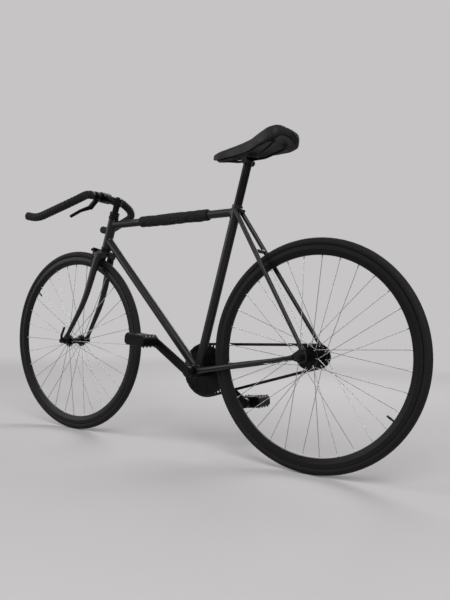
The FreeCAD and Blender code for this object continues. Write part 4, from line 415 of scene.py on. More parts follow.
def spoke_finish(colours):
    # Drawn stainless wire: bright, with soft draw marks and a little road film.
    return mottled_finish(
        "drawn_stainless_wire", (12, 4.0), shades(colours.spoke, (0.3, 0.8), (0.65, 1)),
        (0.3, 0.7, 0.2, 0.36), (0.1, 0.03), more={"Metallic": 1.0},
    )


def block_finish(colours):
    # Moulded brake-block rubber: dead matt, pitted, with grey rim dust.
    return mottled_finish(
        "moulded_brake_rubber", (1.5, 4.0), shades(colours.rubber, (0.35, 0.8), (0.75, 2.4)),
        (0, 1, 0.7, 0.95), (0.4, 0.12),
    )


def plastic_finish(colours):
    # Injection-moulded nylon: spark-eroded matt texture, slightly grey on the high spots.
    return mottled_finish(
        "moulded_black_nylon", (0.9, 3.0, 0.65), shades(colours.plastic, (0.3, 0.8), (0.75, 1.6)),
        (0.3, 0.7, 0.45, 0.62), (0.35, 0.1), more={"IOR": 1.53, "Specular IOR Level": 0.3},
    )


def thread_finish(colours):
    # Bonded polyester thread: twisted, slightly shiny, a shade paler than the leather so that stitches read.
    return mottled_finish(
        "bonded_sewing_thread", (1.0, 2.0), shades(colours.thread, (0.3, 0.7), (0.7, 1.3)),
        (0, 1, 0.4, 0.65), (0.4, 0.1),
    )


def valve_finish():
    # Black-nickelled brass valve: dark metal, brassy where it is tarnished.
    return mottled_finish(
        "black_nickelled_brass", (1.2, 4.0), [(0.35, linear("#1A1917")), (0.75, linear("#3B362C"))],
        (0, 1, 0.25, 0.5), (0.3, 0.08), more={"Metallic": 0.9},
    )


def tyre_finish(colours):
    # Vulcanised tyre rubber: matt black, finer casing threads on the side walls, greyer dust on the tread.
    material, tree, place = new_finish("vulcanised_tyre_rubber", "UV")
    apart = add(tree, "SeparateXYZ", {"Vector": place}, out="Y")
    apart = add(tree, "Math", {0: apart}, operation="ABSOLUTE")
    # The tread ends about 10.5 mm from the middle, measured round the section.
    tread = spread(tree, apart, 11.5 * MM, 9.5 * MM)
    dust = noise(tree, place, 8, 6.0, 0.7)
    dusty = times(tree, dust, tread)
    tone = add(tree, "ValToRGB", {"Fac": dusty}, shades(colours.rubber, (0.0, 1), (0.75, 2.6)))
    # Casing threads lie 0.4 mm apart; drawn at 1.6 mm so that they show.
    turned = add(tree, "Mapping", {"Vector": place, "Rotation": (0, 0, math.radians(45))})
    # A wave node of scale 1 runs through 20 radians in a metre.
    fine = per_mm(1.6) * 2 * math.pi / 20
    threads = add(tree, "TexWave", {"Vector": turned, "Scale": fine, "Distortion": 0.4}, out="Fac")
    threads = add(tree, "Mix", {0: tread, 2: threads, 3: dust}, data_type="FLOAT")
    rough = spread(tree, dust, 0.3, 0.7, 0.55, 0.8)
    bump = raised(tree, threads, 0.3, 0.12)
    return close_finish(material, tree, tone, rough, bump, {"IOR": 1.52, "Specular IOR Level": 0.2})


def tape_finish(colours):
    # Cork and foam bar tape: soft matt black, pin-pricked, with paler cork crumbs and polish where hands lie.
    material, tree, place = new_finish("pricked_cork_bar_tape", "UV")
    crumbs = add(tree, "TexVoronoi", {"Vector": place, "Scale": per_mm(1.4), "Randomness": 1.0})
    crumb = spread(tree, crumbs, 0.2, 0.08)
    some = noise(tree, place, 2.4, 2.0)
    kept = spread(tree, some, 0.52, 0.66)
    crumb = times(tree, crumb, kept)
    tone = blended(tree, crumb, (*colours.tape, 1), (*linear("#34322F"), 1))
    # The pricked holes are 0.6 mm wide and 2.4 mm apart.
    holes = add(tree, "TexVoronoi", {"Vector": place, "Scale": per_mm(2.4), "Randomness": 0.0})
    hole = spread(tree, holes, 0.1, 0.2)
    nap = noise(tree, place, 0.7, 3.0)
    height = add(tree, "Math", {0: hole, 1: nap}, operation="ADD")
    bump = raised(tree, height, 0.45, 0.2)
    rough = spread(tree, some, 0.3, 0.7, 0.62, 0.88)
    return close_finish(material, tree, tone, rough, bump, {
        "Sheen Weight": 0.05, "Sheen Roughness": 0.5, "Specular IOR Level": 0.2,
    })


def leather_finish(colours):
    # Finished saddle leather: pebbled grain with fine creases darkened by painted shade, semi-matt, polished
    # where a rider sits.
    material, tree, place = new_finish("grained_saddle_leather")
    warp = noise(tree, place, 7, 2.0, out="Color")
    bent = add(tree, "VectorMath", {0: warp, 1: (0.002, 0.002, 0.002)}, operation="MULTIPLY")
    bent = add(tree, "VectorMath", {0: place, 1: bent}, operation="ADD")
    # Leather pebbles are about 1 mm; drawn at 2 mm so that they show.
    pebbles = add(tree, "TexVoronoi", {"Vector": bent, "Scale": per_mm(2.0)}, feature="DISTANCE_TO_EDGE")
    crease = spread(tree, pebbles, 0.0, 0.22)
    cloud = noise(tree, place, 35, 4.0)
    tone = add(tree, "ValToRGB", {"Fac": cloud}, shades(colours.leather, (0.3, 0.8), (0.7, 1.8)))
    # Painted shade: the creases between the pebbles are darkened to 0.45 of the leather's colour.
    painted_crease_shade = (*(c * 0.45 for c in colours.leather), 1)
    tone = blended(tree, crease, painted_crease_shade, tone)
    rough = spread(tree, cloud, 0.3, 0.7, 0.46, 0.64)
    bump = raised(tree, crease, 0.28, 0.2)
    return close_finish(material, tree, tone, rough, bump, {"IOR": 1.5, "Specular IOR Level": 0.25})


def cloth_finish(colours):
    # Woven nylon pack cloth: plain weave of flat yarns, painted lighter on the raised yarns and darker
    # between them, with a dry sheen and slightly uneven dye.
    material, tree, place = new_finish("woven_nylon_cloth", "UV")
    # Yarns lie 0.5 mm apart; drawn at 1.6 mm so that they show.
    waves = []
    for axis in ("X", "Y"):
        yarns = add(tree, "SeparateXYZ", {"Vector": place}, out=axis)
        yarns = times(tree, yarns, per_mm(1.6) * math.pi)
        waves.append(add(tree, "Math", {0: yarns}, operation="SINE"))
    weave = times(tree, waves[0], waves[1])
    dye = noise(tree, place, 30, 5.0)
    tone = add(tree, "ValToRGB", {"Fac": dye}, shades(colours.cloth, (0.3, 0.75), (0.7, 1.6)))
    # Painted light and shade: the tone is lightened by up to a quarter where the weave rises and darkened by
    # up to a quarter where it dips.
    painted_weave_light_and_shade = spread(tree, weave, -1.0, 1.0, 0.75, 1.25)
    tone = add(tree, "VectorMath", {0: tone, 1: painted_weave_light_and_shade}, operation="MULTIPLY")
    rough = spread(tree, dye, 0.3, 0.7, 0.62, 0.82)
    bump = raised(tree, weave, 0.5, 0.15)
    return close_finish(material, tree, tone, rough, bump, {
        "Sheen Weight": 0.06, "Sheen Roughness": 0.4, "Specular IOR Level": 0.2,
    })


# Settings that a user would change

def colour(name, code, description):
    """Property for a colour, given as its hex code."""
    return FloatVectorProperty(
        name=name, description=description, subtype="COLOR", size=3, min=0, max=1, default=linear(code)
    )


def length(name, millimetres, description):
    """Property for a length, given in millimetres."""
    return FloatProperty(name=name, description=description, default=millimetres * MM, unit="LENGTH")


class FinishColours(bpy.types.PropertyGroup):
    """Main colour of each finish."""

    enamel: colour("Enamel", "#090909", "Paint on the frame and fork")
    anodised: colour("Anodised", "#131315", "Dyed alloy of the bar, stem, cranks, hubs and rims")
    steel: colour("Steel", "#19191B", "Bolts, axles and bearings")
    chain: colour("Chain", "#1A1A1B", "Chain and sprocket")
    spoke: colour("Spokes", "#A9ABAE", "Wire of the spokes")
    rubber: colour("Rubber", "#0A0A0A", "Tyres and brake blocks")
    tape: colour("Bar tape", "#0B0B0C", "Tape wound on the bar")
    plastic: colour("Plastic", "#0D0D0E", "Bar plugs and saddle base")
    leather: colour("Leather", "#0A0A0B", "Saddle cover")
    cloth: colour("Cloth", "#0C0C0D", "Pad on the top tube")
    thread: colour("Thread", "#1E1E20", "Stitches of the saddle and pad")
    floor: colour("Floor", "#C6C4C5", "Floor and the space behind")


class BicycleSizes(bpy.types.PropertyGroup):
    """Sizes of the pieces that are made here."""

    tread_depth: length("Tread depth", 0.6, "Depth of the tyre's grooves")
    tread_grooves: IntProperty(
        name="Tread grooves", description="Grooves round one tyre", default=180, min=30, max=360
    )
    tape_pitch: length("Tape pitch", 13, "Advance of the bar tape in one turn")
    tape_thickness: length("Tape thickness", 1.05, "Thickness of one layer of bar tape")
    stitch: length("Stitch", 4.2, "Distance between stitches")
    joint: length("Joint fillet", 5.5, "Reach of the brazing at the tube joints")
    pad_pressure: FloatProperty(
        name="Pad pressure", description="Pressure that blows up the pad's cloth", default=4.0, min=0
    )
    pad_slack: FloatProperty(
        name="Pad slack", description="Share of spare cloth in the pad",
        default=0.05, min=0, max=0.3, subtype="FACTOR",
    )
    focal_length: FloatProperty(
        name="Focal length", description="Lens of the camera", default=35.24, subtype="DISTANCE_CAMERA"
    )


def all_finishes(colours):
    """Every finish by the record's slot name."""
    return {
        "gloss_black_paint": enamel_finish(colours),
        "black_anodised_alloy": anodised_finish(colours),
        "dark_steel": steel_finish(colours),
        "black_chain_steel": chain_finish(colours),
        "stainless_spokes": spoke_finish(colours),
        "black_tyre": tyre_finish(colours),
        "dark_brass_valve": valve_finish(),
        "black_pedal_alloy": anodised_finish(colours, "cast_black_pedal_aluminium", 1.6),
        "brake_rubber": block_finish(colours),
        "black_bar_tape": tape_finish(colours),
        "black_plastic": plastic_finish(colours),
        "black_saddle_leather": leather_finish(colours),
        "black_pad_fabric": cloth_finish(colours),
    }


class BICYCLE_OT_finish_nodes(bpy.types.Operator):
    """Gives every solid of the frame its finish"""

    bl_idname = "bicycle.finish_nodes"
    bl_label = "Finish the solids"

    def execute(self, context):
        colours = context.scene.bicycle_colours
        FINISHES.update(all_finishes(colours))
        FINISHES["thread"] = thread_finish(colours)
        FINISHES["front_rim"] = rim_finish(colours, "front_rim_turned_aluminium", FRONT_AXLE)
        FINISHES["rear_rim"] = rim_finish(colours, "rear_rim_turned_aluminium", REAR_AXLE)
        for name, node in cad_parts.items():
            slot = node.material_slots[0]
            slot.material = FINISHES.get(name) or FINISHES[slot.material.name.split(".")[0]]
        return {"FINISHED"}


# Tyres

# Height of the tread and of the ribs over the side wall
TREAD_RISE, RIB_RISE = 0.35 * MM, 0.3 * MM
# Angles of the section in degrees: the beads, the ribs, and where the tread and its grooves ease in or out
BEAD_ANGLE, RIB_ANGLES = 138.8, (96, 118)
TREAD_EDGE, GROOVE_START, GROOVE_END = (54, 51.5), (13, 17), (50, 45)
GROOVE_SLANT = 3.2
BEAD_FOOT = np.array([[7.6, 310.6], [-7.6, 310.6]]) * MM
POINTS_A_GROOVE = 6


def tyre_grid(axle, sizes):
    """Torus about the axle: at section angle a a point lies r sin a aside and C + r cos a out from the axle.

    The tread stands proud of the side walls. Its slanted grooves are cosines of turn and angle, cut where
    the smooth centre ends. Two ribs run round each side wall, and the section closes through the beads.
    """
    section = TYRE_WIDTH / 2
    centre = TYRE_RADIUS - section
    side = np.radians(np.append(np.linspace(BEAD_ANGLE, 56, 15), 53))
    a = np.concatenate([-side, np.radians(np.linspace(-51, 51, 43)), side[::-1]])
    turn = circle(sizes.tread_grooves * POINTS_A_GROOVE)[:, None]
    lean = np.degrees(np.abs(a))
    groove = np.cos(turn * sizes.tread_grooves + GROOVE_SLANT * a) - 0.5
    window = eased(*GROOVE_START, lean) * eased(*GROOVE_END, lean)
    cut = sizes.tread_depth * np.clip(groove * 3, 0, 1) * window
    tread = TREAD_RISE * eased(*TREAD_EDGE, lean)
    ribs = sum(RIB_RISE * np.exp(-((lean - at) / 2.4) ** 2) for at in RIB_ANGLES)
    radius = section - TREAD_RISE + tread + ribs - cut
    foot = np.tile(BEAD_FOOT, (len(turn), 1, 1))
    aside = np.concatenate([radius * np.sin(a), foot[..., 0]], 1)
    out = np.concatenate([centre + radius * np.cos(a), foot[..., 1]], 1)
    points = axle + np.stack([out * np.cos(turn), aside, out * np.sin(turn)], -1)
    lines = np.append(turn.ravel(), 2 * math.pi) * TYRE_RADIUS
    # The foot's widths only keep the tread's pattern off it.
    widths = np.concatenate([a * section, [0.03, 0.031, -0.03]])
    uv = np.stack(np.meshgrid(lines, widths, indexing="ij"), -1)
    return grid(points, uv, close_rows=True, close_columns=True)


class BICYCLE_OT_make_tyres(bpy.types.Operator):
    """Moulds both tyres with their tread"""

    bl_idname = "bicycle.make_tyres"
    bl_label = "Make the tyres"

    def execute(self, context):
        sizes = context.scene.bicycle_sizes
        for end, axle in (("front", FRONT_AXLE), ("rear", REAR_AXLE)):
            tyre = [tyre_grid(axle, sizes)]
            piece(end + "_treaded_tyre", tyre, end + "_wheel", "black_tyre", [end + "_tyre"])
        return {"FINISHED"}


# Spoke ends

SPOKES_A_SIDE = 16
SPOKE_END = 285.55 * MM
# How far a spoke's root lies out from its hole and aside of the flange, and its end aside of the middle
ROOT_OUT, ROOT_ASIDE, END_ASIDE = 1.05 * MM, 1.1 * MM, 7 / 6 * MM
# Where a spoke's head lies from its root, towards the axle and outward
HEAD_IN, HEAD_OUT = 4.0 * MM, 0.4 * MM
# A spoke that crosses three others leads its hole by one and a half steps.
CROSSING_LEAD = 1.5


def spoke_lines(axle, flange_radius, flange_aside, valve_turn):
    """Root, rim end and lead of each spoke; the two sides alternate round the rim, from the valve on."""
    index = np.arange(SPOKES_A_SIDE)
    step = 2 * math.pi / SPOKES_A_SIDE
    lead = np.where(index % 2, 1, -1)
    roots, ends = [], []
    for side, phase in ((1, 0.25), (-1, 0.75)):
        turn = math.radians(valve_turn) + step * (phase + index)
        root_turn = turn + lead * CROSSING_LEAD * step
        out = flange_radius + ROOT_OUT
        aside = side * flange_aside + lead * ROOT_ASIDE
        roots.append(np.stack([out * np.cos(root_turn), aside, out * np.sin(root_turn)], -1))
        ends.append(np.stack([
            SPOKE_END * np.cos(turn), np.full_like(turn, side * END_ASIDE), SPOKE_END * np.sin(turn),
        ], -1))
    return axle + np.concatenate(roots), axle + np.concatenate(ends), np.tile(lead, 2)


def turned_along(start, way, profile, count):
    """Surfaces of revolution about many axes at once: profile rows of (distance, radius) on start + d way."""
    distance, radius = np.array(profile).T * MM
    first = unit(np.cross(way, np.where(np.abs(way[:, 1:2]) < 0.9, LATERAL, UP)))
    second = np.cross(way, first)
    angle = circle(count)
    rim = np.cos(angle)[:, None] * first[:, None] + np.sin(angle)[:, None] * second[:, None]
    line = start[:, None] + distance[:, None] * way[:, None]
    return grid(line[:, :, None] + radius[:, None, None] * rim[:, None], close_columns=True)


# Distance along and radius of each turned shape, in millimetres
NIPPLE = [(-0.4, 0), (-0.4, 2.3), (1.2, 2.3), (1.8, 1.75), (8.2, 1.6), (8.8, 1.35), (8.9, 0.9)]
SPOKE_ELBOW = [(-0.5, 1.0), (4.4, 1.0), (4.9, 0.6), (5.0, 0)]
SPOKE_HEAD = [(-0.5, 1.9), (0.7, 1.75), (1.2, 1.2), (1.4, 0)]


# Wheel, axle, flange's radius and place aside in millimetres, and the valve's turn in degrees
HUBS = (("front", FRONT_AXLE, 21.6, 29.0, 39.6), ("rear", REAR_AXLE, 33.0, 31.0, 212.3))


class BICYCLE_OT_make_spoke_ends(bpy.types.Operator):
    """Adds the nipples at the rims and the elbows and heads at the hub flanges"""

    bl_idname = "bicycle.make_spoke_ends"
    bl_label = "Make the spoke ends"

    def execute(self, context):
        for end, axle, flange_radius, flange_aside, valve_turn in HUBS:
            roots, ends, leads = spoke_lines(axle, flange_radius * MM, flange_aside * MM, valve_turn)
            inward = unit(roots - ends)
            to_axle = unit((axle - roots) * (1, 0, 1))
            outward = LATERAL * leads[:, None]
            heads = roots + to_axle * HEAD_IN + outward * HEAD_OUT
            grids = [
                turned_along(ends, inward, NIPPLE, 8),
                turned_along(roots, to_axle, SPOKE_ELBOW, 8),
                turned_along(heads, outward, SPOKE_HEAD, 10),
            ]
            piece(end + "_spoke_ends", grids, end + "_wheel", "stainless_spokes")
        return {"FINISHED"}


# Bar tape

BAR_CORNERS = np.array([[0, 58, 0], [0, 80, 0], [-8, 150, -38], [154, 172, -86], [196, 178, -77]]) * MM
BAR_BENDS = np.array([70, 52, 110]) * MM
BAR_RADIUS = 11.9 * MM


def bar_line(side):
    """Middle line of the bar on one side, from the sleeve to the end of the horn."""
    return Line(BAR_CENTRE + BAR_CORNERS * (1, side, 1), BAR_BENDS)


# Height of the tape in layers, by the share of the way across it
TAPE_SHARES = np.array([0, 0.004, 0.02, 0.06, 0.14, 0.24, 0.33, 0.4, 0.47, 0.55, 0.66, 0.76])
TAPE_LAYERS = np.array([1.0, 1.6, 1.9, 2.04, 2.08, 2.05, 1.98, 1.72, 1.36, 1.12, 1.04, 1.0])
TAPE_POINTS_A_TURN = 44


def tape_grid(line, side, sizes):
    """A strip wound on a helix: at turn f and share w across it lies at s = pitch f / 2 pi + w width.

    The leading third rides on the turn before it, one thickness up, and slopes down to the bar behind.
    """
    pitch, thick = sizes.tape_pitch, sizes.tape_thickness
    width = pitch * 1.5
    turns = int((line.length + width) / pitch) + 1
    angle = np.linspace(0, 2 * math.pi * turns, turns * TAPE_POINTS_A_TURN + 1)
    angle, share = np.meshgrid(angle, TAPE_SHARES, indexing="ij")
    along = pitch * angle / (2 * math.pi) + share * width
    # An uneven pull thickens and thins the tape by up to 2 percent.
    pull = 1 + 0.02 * np.sin(angle * 2.7 + 0.6) * np.sin(angle * 0.37)
    radius = BAR_RADIUS + thick * TAPE_LAYERS * pull
    points = line.round_it(np.clip(along - width, 0, line.length), side * angle, radius)
    return grid(points, np.stack([angle * BAR_RADIUS, share * width], -1))


# Start, end, radius and edge of the band that binds the tape's inner end, and how deep its edges turn in
BAND_START, BAND_END, BAND_RADIUS, BAND_EDGE, BAND_DEPTH = np.array([0.2, 15, 14.3, 0.6, 1.6]) * MM


def band_grid(line):
    """Sleeve along the line with rounded edges that turn in to the tape."""
    along = np.array([
        BAND_START, BAND_START, BAND_START + BAND_EDGE, (BAND_START + BAND_END) / 2, BAND_END - BAND_EDGE,
        BAND_END, BAND_END,
    ])
    rise = np.array([-BAND_DEPTH, -BAND_EDGE, 0, 0, 0, -BAND_EDGE, -BAND_DEPTH])
    angle = circle(40)
    place, turn = np.meshgrid(along, angle, indexing="ij")
    points = line.round_it(place, turn, BAND_RADIUS + rise[:, None] + 0 * turn)
    uv = np.stack(np.meshgrid(along, np.append(angle, 2 * math.pi) * BAND_RADIUS, indexing="ij"), -1)
    return grid(points, uv, close_columns=True)


class BICYCLE_OT_wind_tape(bpy.types.Operator):
    """Winds the tape on both horns and binds its inner end"""

    bl_idname = "bicycle.wind_tape"
    bl_label = "Wind the bar tape"

    def execute(self, context):
        sizes = context.scene.bicycle_sizes
        for name, side in SIDES:
            line = bar_line(side)
            # One node holds both sides' tape, so one piece stands for it.
            stands_for = ["bar_tape"] if name == "left" else []
            piece("wound_tape_" + name, [tape_grid(line, side, sizes)], "fork", "black_bar_tape", stands_for)
            piece("tape_band_" + name, [band_grid(line)], "fork", "black_plastic")
        return {"FINISHED"}


# Saddle

# Forward of the clamp, half width, lower edge, shoulder and crown, in millimetres, from tail to nose.
SADDLE_STATIONS = np.array([
    [-143, 45, 37, 51, 58], [-130, 66, 28.5, 54.5, 65.5], [-108, 72, 20.5, 54, 66.5],
    [-72, 63, 14, 46.5, 58], [-26, 41, 7.5, 37, 47.5], [26, 27, 4, 29.5, 40],
    [76, 20.5, 2.5, 21.5, 33.5], [106, 18.2, 2.0, 17.5, 28.5], [119, 15.5, 3.2, 14.5, 24.5],
])
# Share of the way over the cover of the seam and of the shoulder, and the shoulder's share of the half width
SEAM_SHARE, SHOULDER_SHARE, SHOULDER_WIDTH = 0.6, 0.68, 0.92
# Angles that the crown's and the flank's curves turn through
CROWN_TURN, FLANK_TURN = 1.35, 0.78 * math.pi


def saddle_sizes(forward):
    """Half width, lower edge, shoulder and crown at a place along the saddle."""
    return [through(SADDLE_STATIONS[:, 0], column, forward) for column in SADDLE_STATIONS[:, 1:].T]


def saddle_section(forward, share):
    """Distance aside and height over the clamp at a share of the way over, from -1 right to 1 left.

    The top is a crown that falls by a power of the share, and the flank curves in below the shoulder.
    """
    half, low, shoulder, crown = saddle_sizes(forward)
    over = np.abs(share)
    on_top = over < SHOULDER_SHARE
    top = np.clip(over / SHOULDER_SHARE, 0, 1)
    flank = np.clip((over - SHOULDER_SHARE) / (1 - SHOULDER_SHARE), 0, 1)
    top_aside = SHOULDER_WIDTH * np.sin(top * CROWN_TURN) / math.sin(CROWN_TURN)
    flank_aside = SHOULDER_WIDTH + (1 - SHOULDER_WIDTH) * np.sin(flank * FLANK_TURN)
    top_height = crown - (crown - shoulder) * top ** 2.4
    flank_height = shoulder - (shoulder - low) * flank ** 1.15
    aside = half * np.where(on_top, top_aside, flank_aside) * np.sign(share)
    return aside, np.where(on_top, top_height, flank_height)


def saddle_point(forward, aside, height):
    """Point of the frame for a place given in millimetres from the saddle's clamp."""
    return SADDLE_PLACE + np.stack(np.broadcast_arrays(forward, aside, height), -1) * MM


SEAM_ROWS = np.array([-0.03, -0.018, -0.009, 0, 0.009, 0.018, 0.03])
# Depth of the seam, its width as a share, where it eases in and out, and how far the tail and nose round off
SEAM_DEPTH, SEAM_WIDTH, SEAM_START, SEAM_END = 0.9, 0.012, (-140, -128), (122, 110)
TAIL_ROUND, NOSE_ROUND = -4, 8.5


def saddle_grid():
    """Cover over the stations: a crowned closed form, nose and tail drawn shut, with a sewn seam each side.

    Seams sink by a bell curve of the distance from the seam's share, and the underside hollows to the middle.
    """
    tail, nose = SADDLE_STATIONS[[0, -1], 0]
    forward = np.concatenate([np.linspace(tail, -100, 22), np.linspace(-97, nose, 72)])[:, None]
    half_share = np.concatenate([
        np.linspace(0, SEAM_SHARE - 0.04, 16), SEAM_SHARE + SEAM_ROWS, np.linspace(SEAM_SHARE + 0.045, 1, 14),
    ])
    share = np.concatenate([-half_share[:0:-1], half_share])[None, :]
    aside, height = saddle_section(forward, share)
    over = np.abs(share)
    sink = SEAM_DEPTH * np.exp(-((over - SEAM_SHARE) / SEAM_WIDTH) ** 2)
    sink = sink * eased(*SEAM_START, forward) * eased(*SEAM_END, forward)
    # Shallow waves of the padding, strongest on the flanks
    soft = 0.25 * np.sin(forward * 0.11) * np.sin(share * 9 + forward * 0.05) * eased(0.3, 0.9, over)
    half, low, _, _ = saddle_sizes(forward)
    under = np.linspace(1, -1, 17)[None, 1:-1]
    rise = np.minimum(0.4 * half, 15) - 0.4
    lip = 0.9 * half * (SHOULDER_WIDTH + (1 - SHOULDER_WIDTH) * math.sin(FLANK_TURN))
    aside = np.concatenate([aside, lip * under], 1)
    height = np.concatenate([height - sink + soft, low + 0.8 + rise * (1 - under ** 2)], 1)
    body = saddle_point(forward, aside, height)
    bend = np.linspace(0, math.pi / 2, 10)[1:, None, None]
    ends = []
    for row, reach in ((body[:1], TAIL_ROUND), (body[-1:], NOSE_ROUND)):
        middle = row.mean(1, keepdims=True)
        ends.append(middle + (row - middle) * np.cos(bend) + np.sin(bend) * (reach * MM, 0, 0))
    return grid(np.concatenate([ends[0][::-1], body, ends[1]]), close_columns=True)


# Places under the saddle, in millimetres from the clamp, and the height and radius of the moulded post there.
RAIL_SOCKETS = (
    (((-104, 36.6, 20.5), (-104, -36.6, 20.5)), [
        (-5, 0), (-5, 4.6), (-4.4, 5.6), (-3, 6.2), (5, 6.8), (9, 8), (12, 10.5), (14, 14), (14, 0),
    ]),
    (((102, 0, 5.5),), [(-3.3, 0), (-3.3, 9), (-2.8, 10.2), (-1.5, 11), (3, 11.4), (7, 12.5), (7, 0)]),
)


# Radius of the thread on the saddle and on the pad, in millimetres
SADDLE_THREAD, PAD_THREAD = 0.42, 0.4
# Shares of a stitch's length and radius
STITCH = [(0, 0), (0.1, 0.8), (0.3, 1), (0.7, 1), (0.9, 0.8), (1, 0)]


def stitch_row(line, pitch, radius):
    """Thread dashes along a line of points: each a small lens-ended rod, 60 percent of the pitch long."""
    run = run_of(line)
    middle = np.arange(pitch / 2, run[-1] - pitch / 2, pitch)
    start = point_at(middle - 0.3 * pitch, run, line)
    end = point_at(middle + 0.3 * pitch, run, line)
    size = (float(np.mean(np.linalg.norm(end - start, axis=1))) / MM, radius)
    return turned_along(start, unit(end - start), np.array(STITCH) * size, 6)


class BICYCLE_OT_sew_saddle(bpy.types.Operator):
    """Stretches the saddle's cover over its padding and sews its seams"""

    bl_idname = "bicycle.sew_saddle"
    bl_label = "Sew the saddle"

    def execute(self, context):
        sizes = context.scene.bicycle_sizes
        cover = piece("saddle_cover", [saddle_grid()], "seat", "black_saddle_leather", ["saddle"])
        forward = np.linspace(-126, 108, 120)
        rows = []
        for side in (-1, 1):
            for offset in (-0.028, 0.028):
                share = np.full_like(forward, side * (SEAM_SHARE + offset))
                aside, height = saddle_section(forward, share)
                path = saddle_point(forward, aside, height - 0.05)
                rows.append(stitch_row(path, sizes.stitch, SADDLE_THREAD))
        piece("saddle_stitches", rows, "seat", "black_saddle_leather", finish="thread")
        sockets = [
            turned_along(saddle_point(*np.array(places).T), np.tile(UP, (len(places), 1)), profile, 28)
            for places, profile in RAIL_SOCKETS
        ]
        piece("rail_sockets", sockets, "seat", "black_plastic")
        return {"FINISHED"}


# Pad on the top tube

# Distance from the top tube's start, length, radius before it swells, and rounding of the ends
PAD_BACK = 104.0 * MM
PAD_LENGTH = 288.0 * MM
PAD_REST = 17.4 * MM
PAD_EDGE = 2.5 * MM
# Distances of the hems, and turns of the seams in radians
PAD_HEMS = np.array([13.0, 275.0]) * MM
PAD_SEAMS = np.array([0.2, math.pi - 0.2])
PAD_ROWS, PAD_COLUMNS = 143, 72
PAD_BORE, PAD_OUTSIDE = 12.85 * MM, 19.0 * MM
# Width of a hem along the pad and of a seam round it in radians, and how deep both sink
HEM_WIDTH, SEAM_TURN, SEWN_DEPTH = 1.2 * MM, 0.06, 0.5 * MM
# Frames of the simulation, and the most that a point of the cloth may move
SWELL_FRAMES = 20
SWELL_LIMIT = 2.4 * MM


def pad_line():
    """Middle line of the pad, along the top tube."""
    way = unit(TOP_TUBE_END - TOP_TUBE_START)
    start = TOP_TUBE_START + way * PAD_BACK
    return Line([start, start + way * PAD_LENGTH])


def swollen_cloth(context, line, along, angle, sizes):
    """Radius, by distance along and turn, of a tube of slack cloth, held where it is sewn and blown up.

    A cloth simulation with pressure and no weight runs on a tube of even radius. Each point's movement is cut
    to the limit, and its distance from the tube's line is what is returned.
    """
    place, turn = np.meshgrid(along, angle, indexing="ij")
    rest = line.round_it(place, turn, np.full_like(place, PAD_REST))
    vertices, quads, _ = grid(rest, close_columns=True)
    cloth = placed("pad_cloth", new_mesh("pad_cloth", vertices, quads))
    sewn = np.zeros(place.shape, bool)
    sewn[[0, -1]] = True
    sewn[np.abs(along[:, None] - PAD_HEMS).argmin(0)] = True
    sewn[:, np.abs(angle[:, None] - PAD_SEAMS).argmin(0)] = True
    cloth.vertex_groups.new(name="sewn").add(np.flatnonzero(sewn).tolist(), 1.0, "REPLACE")
    swell = cloth.modifiers.new("swell", "CLOTH")
    swell.point_cache.frame_start, swell.point_cache.frame_end = 1, SWELL_FRAMES
    swell.collision_settings.use_collision = False
    settings = swell.settings
    settings.quality = 8
    settings.mass = 0.1
    settings.vertex_group_mass = "sewn"
    settings.effector_weights.gravity = 0.0
    settings.use_pressure = True
    settings.uniform_pressure_force = sizes.pad_pressure
    settings.shrink_min = -sizes.pad_slack
    settings.tension_stiffness = settings.compression_stiffness = 15.0
    settings.bending_stiffness = 0.05
    for moment in range(1, SWELL_FRAMES + 1):
        context.scene.frame_set(moment)
    swollen = cloth.evaluated_get(context.evaluated_depsgraph_get())
    moved = np.empty(vertices.size, np.float32)
    swollen.data.vertices.foreach_get("co", moved)
    context.scene.frame_set(1)
    bpy.data.objects.remove(cloth)
    move = moved.reshape(-1, 3) - vertices
    far = np.linalg.norm(move, axis=1, keepdims=True)
    points = vertices + move * np.minimum(1, SWELL_LIMIT / np.maximum(far, 1e-9))
    out = points - line.points[0]
    way = unit(line.points[-1] - line.points[0])
    return np.linalg.norm(out - (out @ way)[:, None] * way, axis=1).reshape(place.shape)


def pad_surface(context, line, sizes):
    """Distances along, turns and radius of the finished pad: the swollen cloth at twice its rows and columns.

    Each sewn line sinks as a bell curve of the distance from it.
    """
    along = np.linspace(PAD_EDGE, PAD_LENGTH - PAD_EDGE, PAD_ROWS)
    angle = -math.pi / 2 + circle(PAD_COLUMNS)
    radius = swollen_cloth(context, line, along, angle, sizes)
    fine_along = np.linspace(along[0], along[-1], 2 * PAD_ROWS - 1)
    fine_angle = -math.pi / 2 + circle(2 * PAD_COLUMNS)
    radius = through(along, radius, fine_along)
    around = np.concatenate([radius[:, -3:], radius, radius[:, :3]], 1).T
    steps = -math.pi / 2 + np.arange(-3, PAD_COLUMNS + 3) * 2 * math.pi / PAD_COLUMNS
    radius = through(steps, around, fine_angle).T
    hems = np.exp(-((fine_along[:, None, None] - PAD_HEMS) / HEM_WIDTH) ** 2).sum(-1)
    seams = np.exp(-((fine_angle[:, None] - PAD_SEAMS) / SEAM_TURN) ** 2).sum(-1)
    return fine_along, fine_angle, radius - SEWN_DEPTH * np.maximum(hems, seams)


def pad_grid(line, along, angle, radius):
    """Closed sleeve: the outside by radius, rounded over both ends and back to the tube."""
    bend = np.linspace(0, math.pi / 2, 6)[1:]
    fold = np.append(PAD_EDGE * np.sin(bend), PAD_EDGE)
    caps = []
    for edge in (radius[0], radius[-1]):
        round_off = edge - PAD_EDGE * (1 - np.cos(bend))[:, None]
        caps.append(np.concatenate([round_off, np.full((1, len(angle)), PAD_BORE)]))
    along = np.concatenate([along[0] - fold[::-1], along, along[-1] + fold])
    radius = np.concatenate([caps[0][::-1], radius, caps[1]])
    place, turn = np.meshgrid(along, angle, indexing="ij")
    widths = np.append(angle, 1.5 * math.pi) * PAD_OUTSIDE
    uv = np.stack(np.meshgrid(along, widths, indexing="ij"), -1)
    return grid(line.round_it(place, turn, radius), uv, close_columns=True)


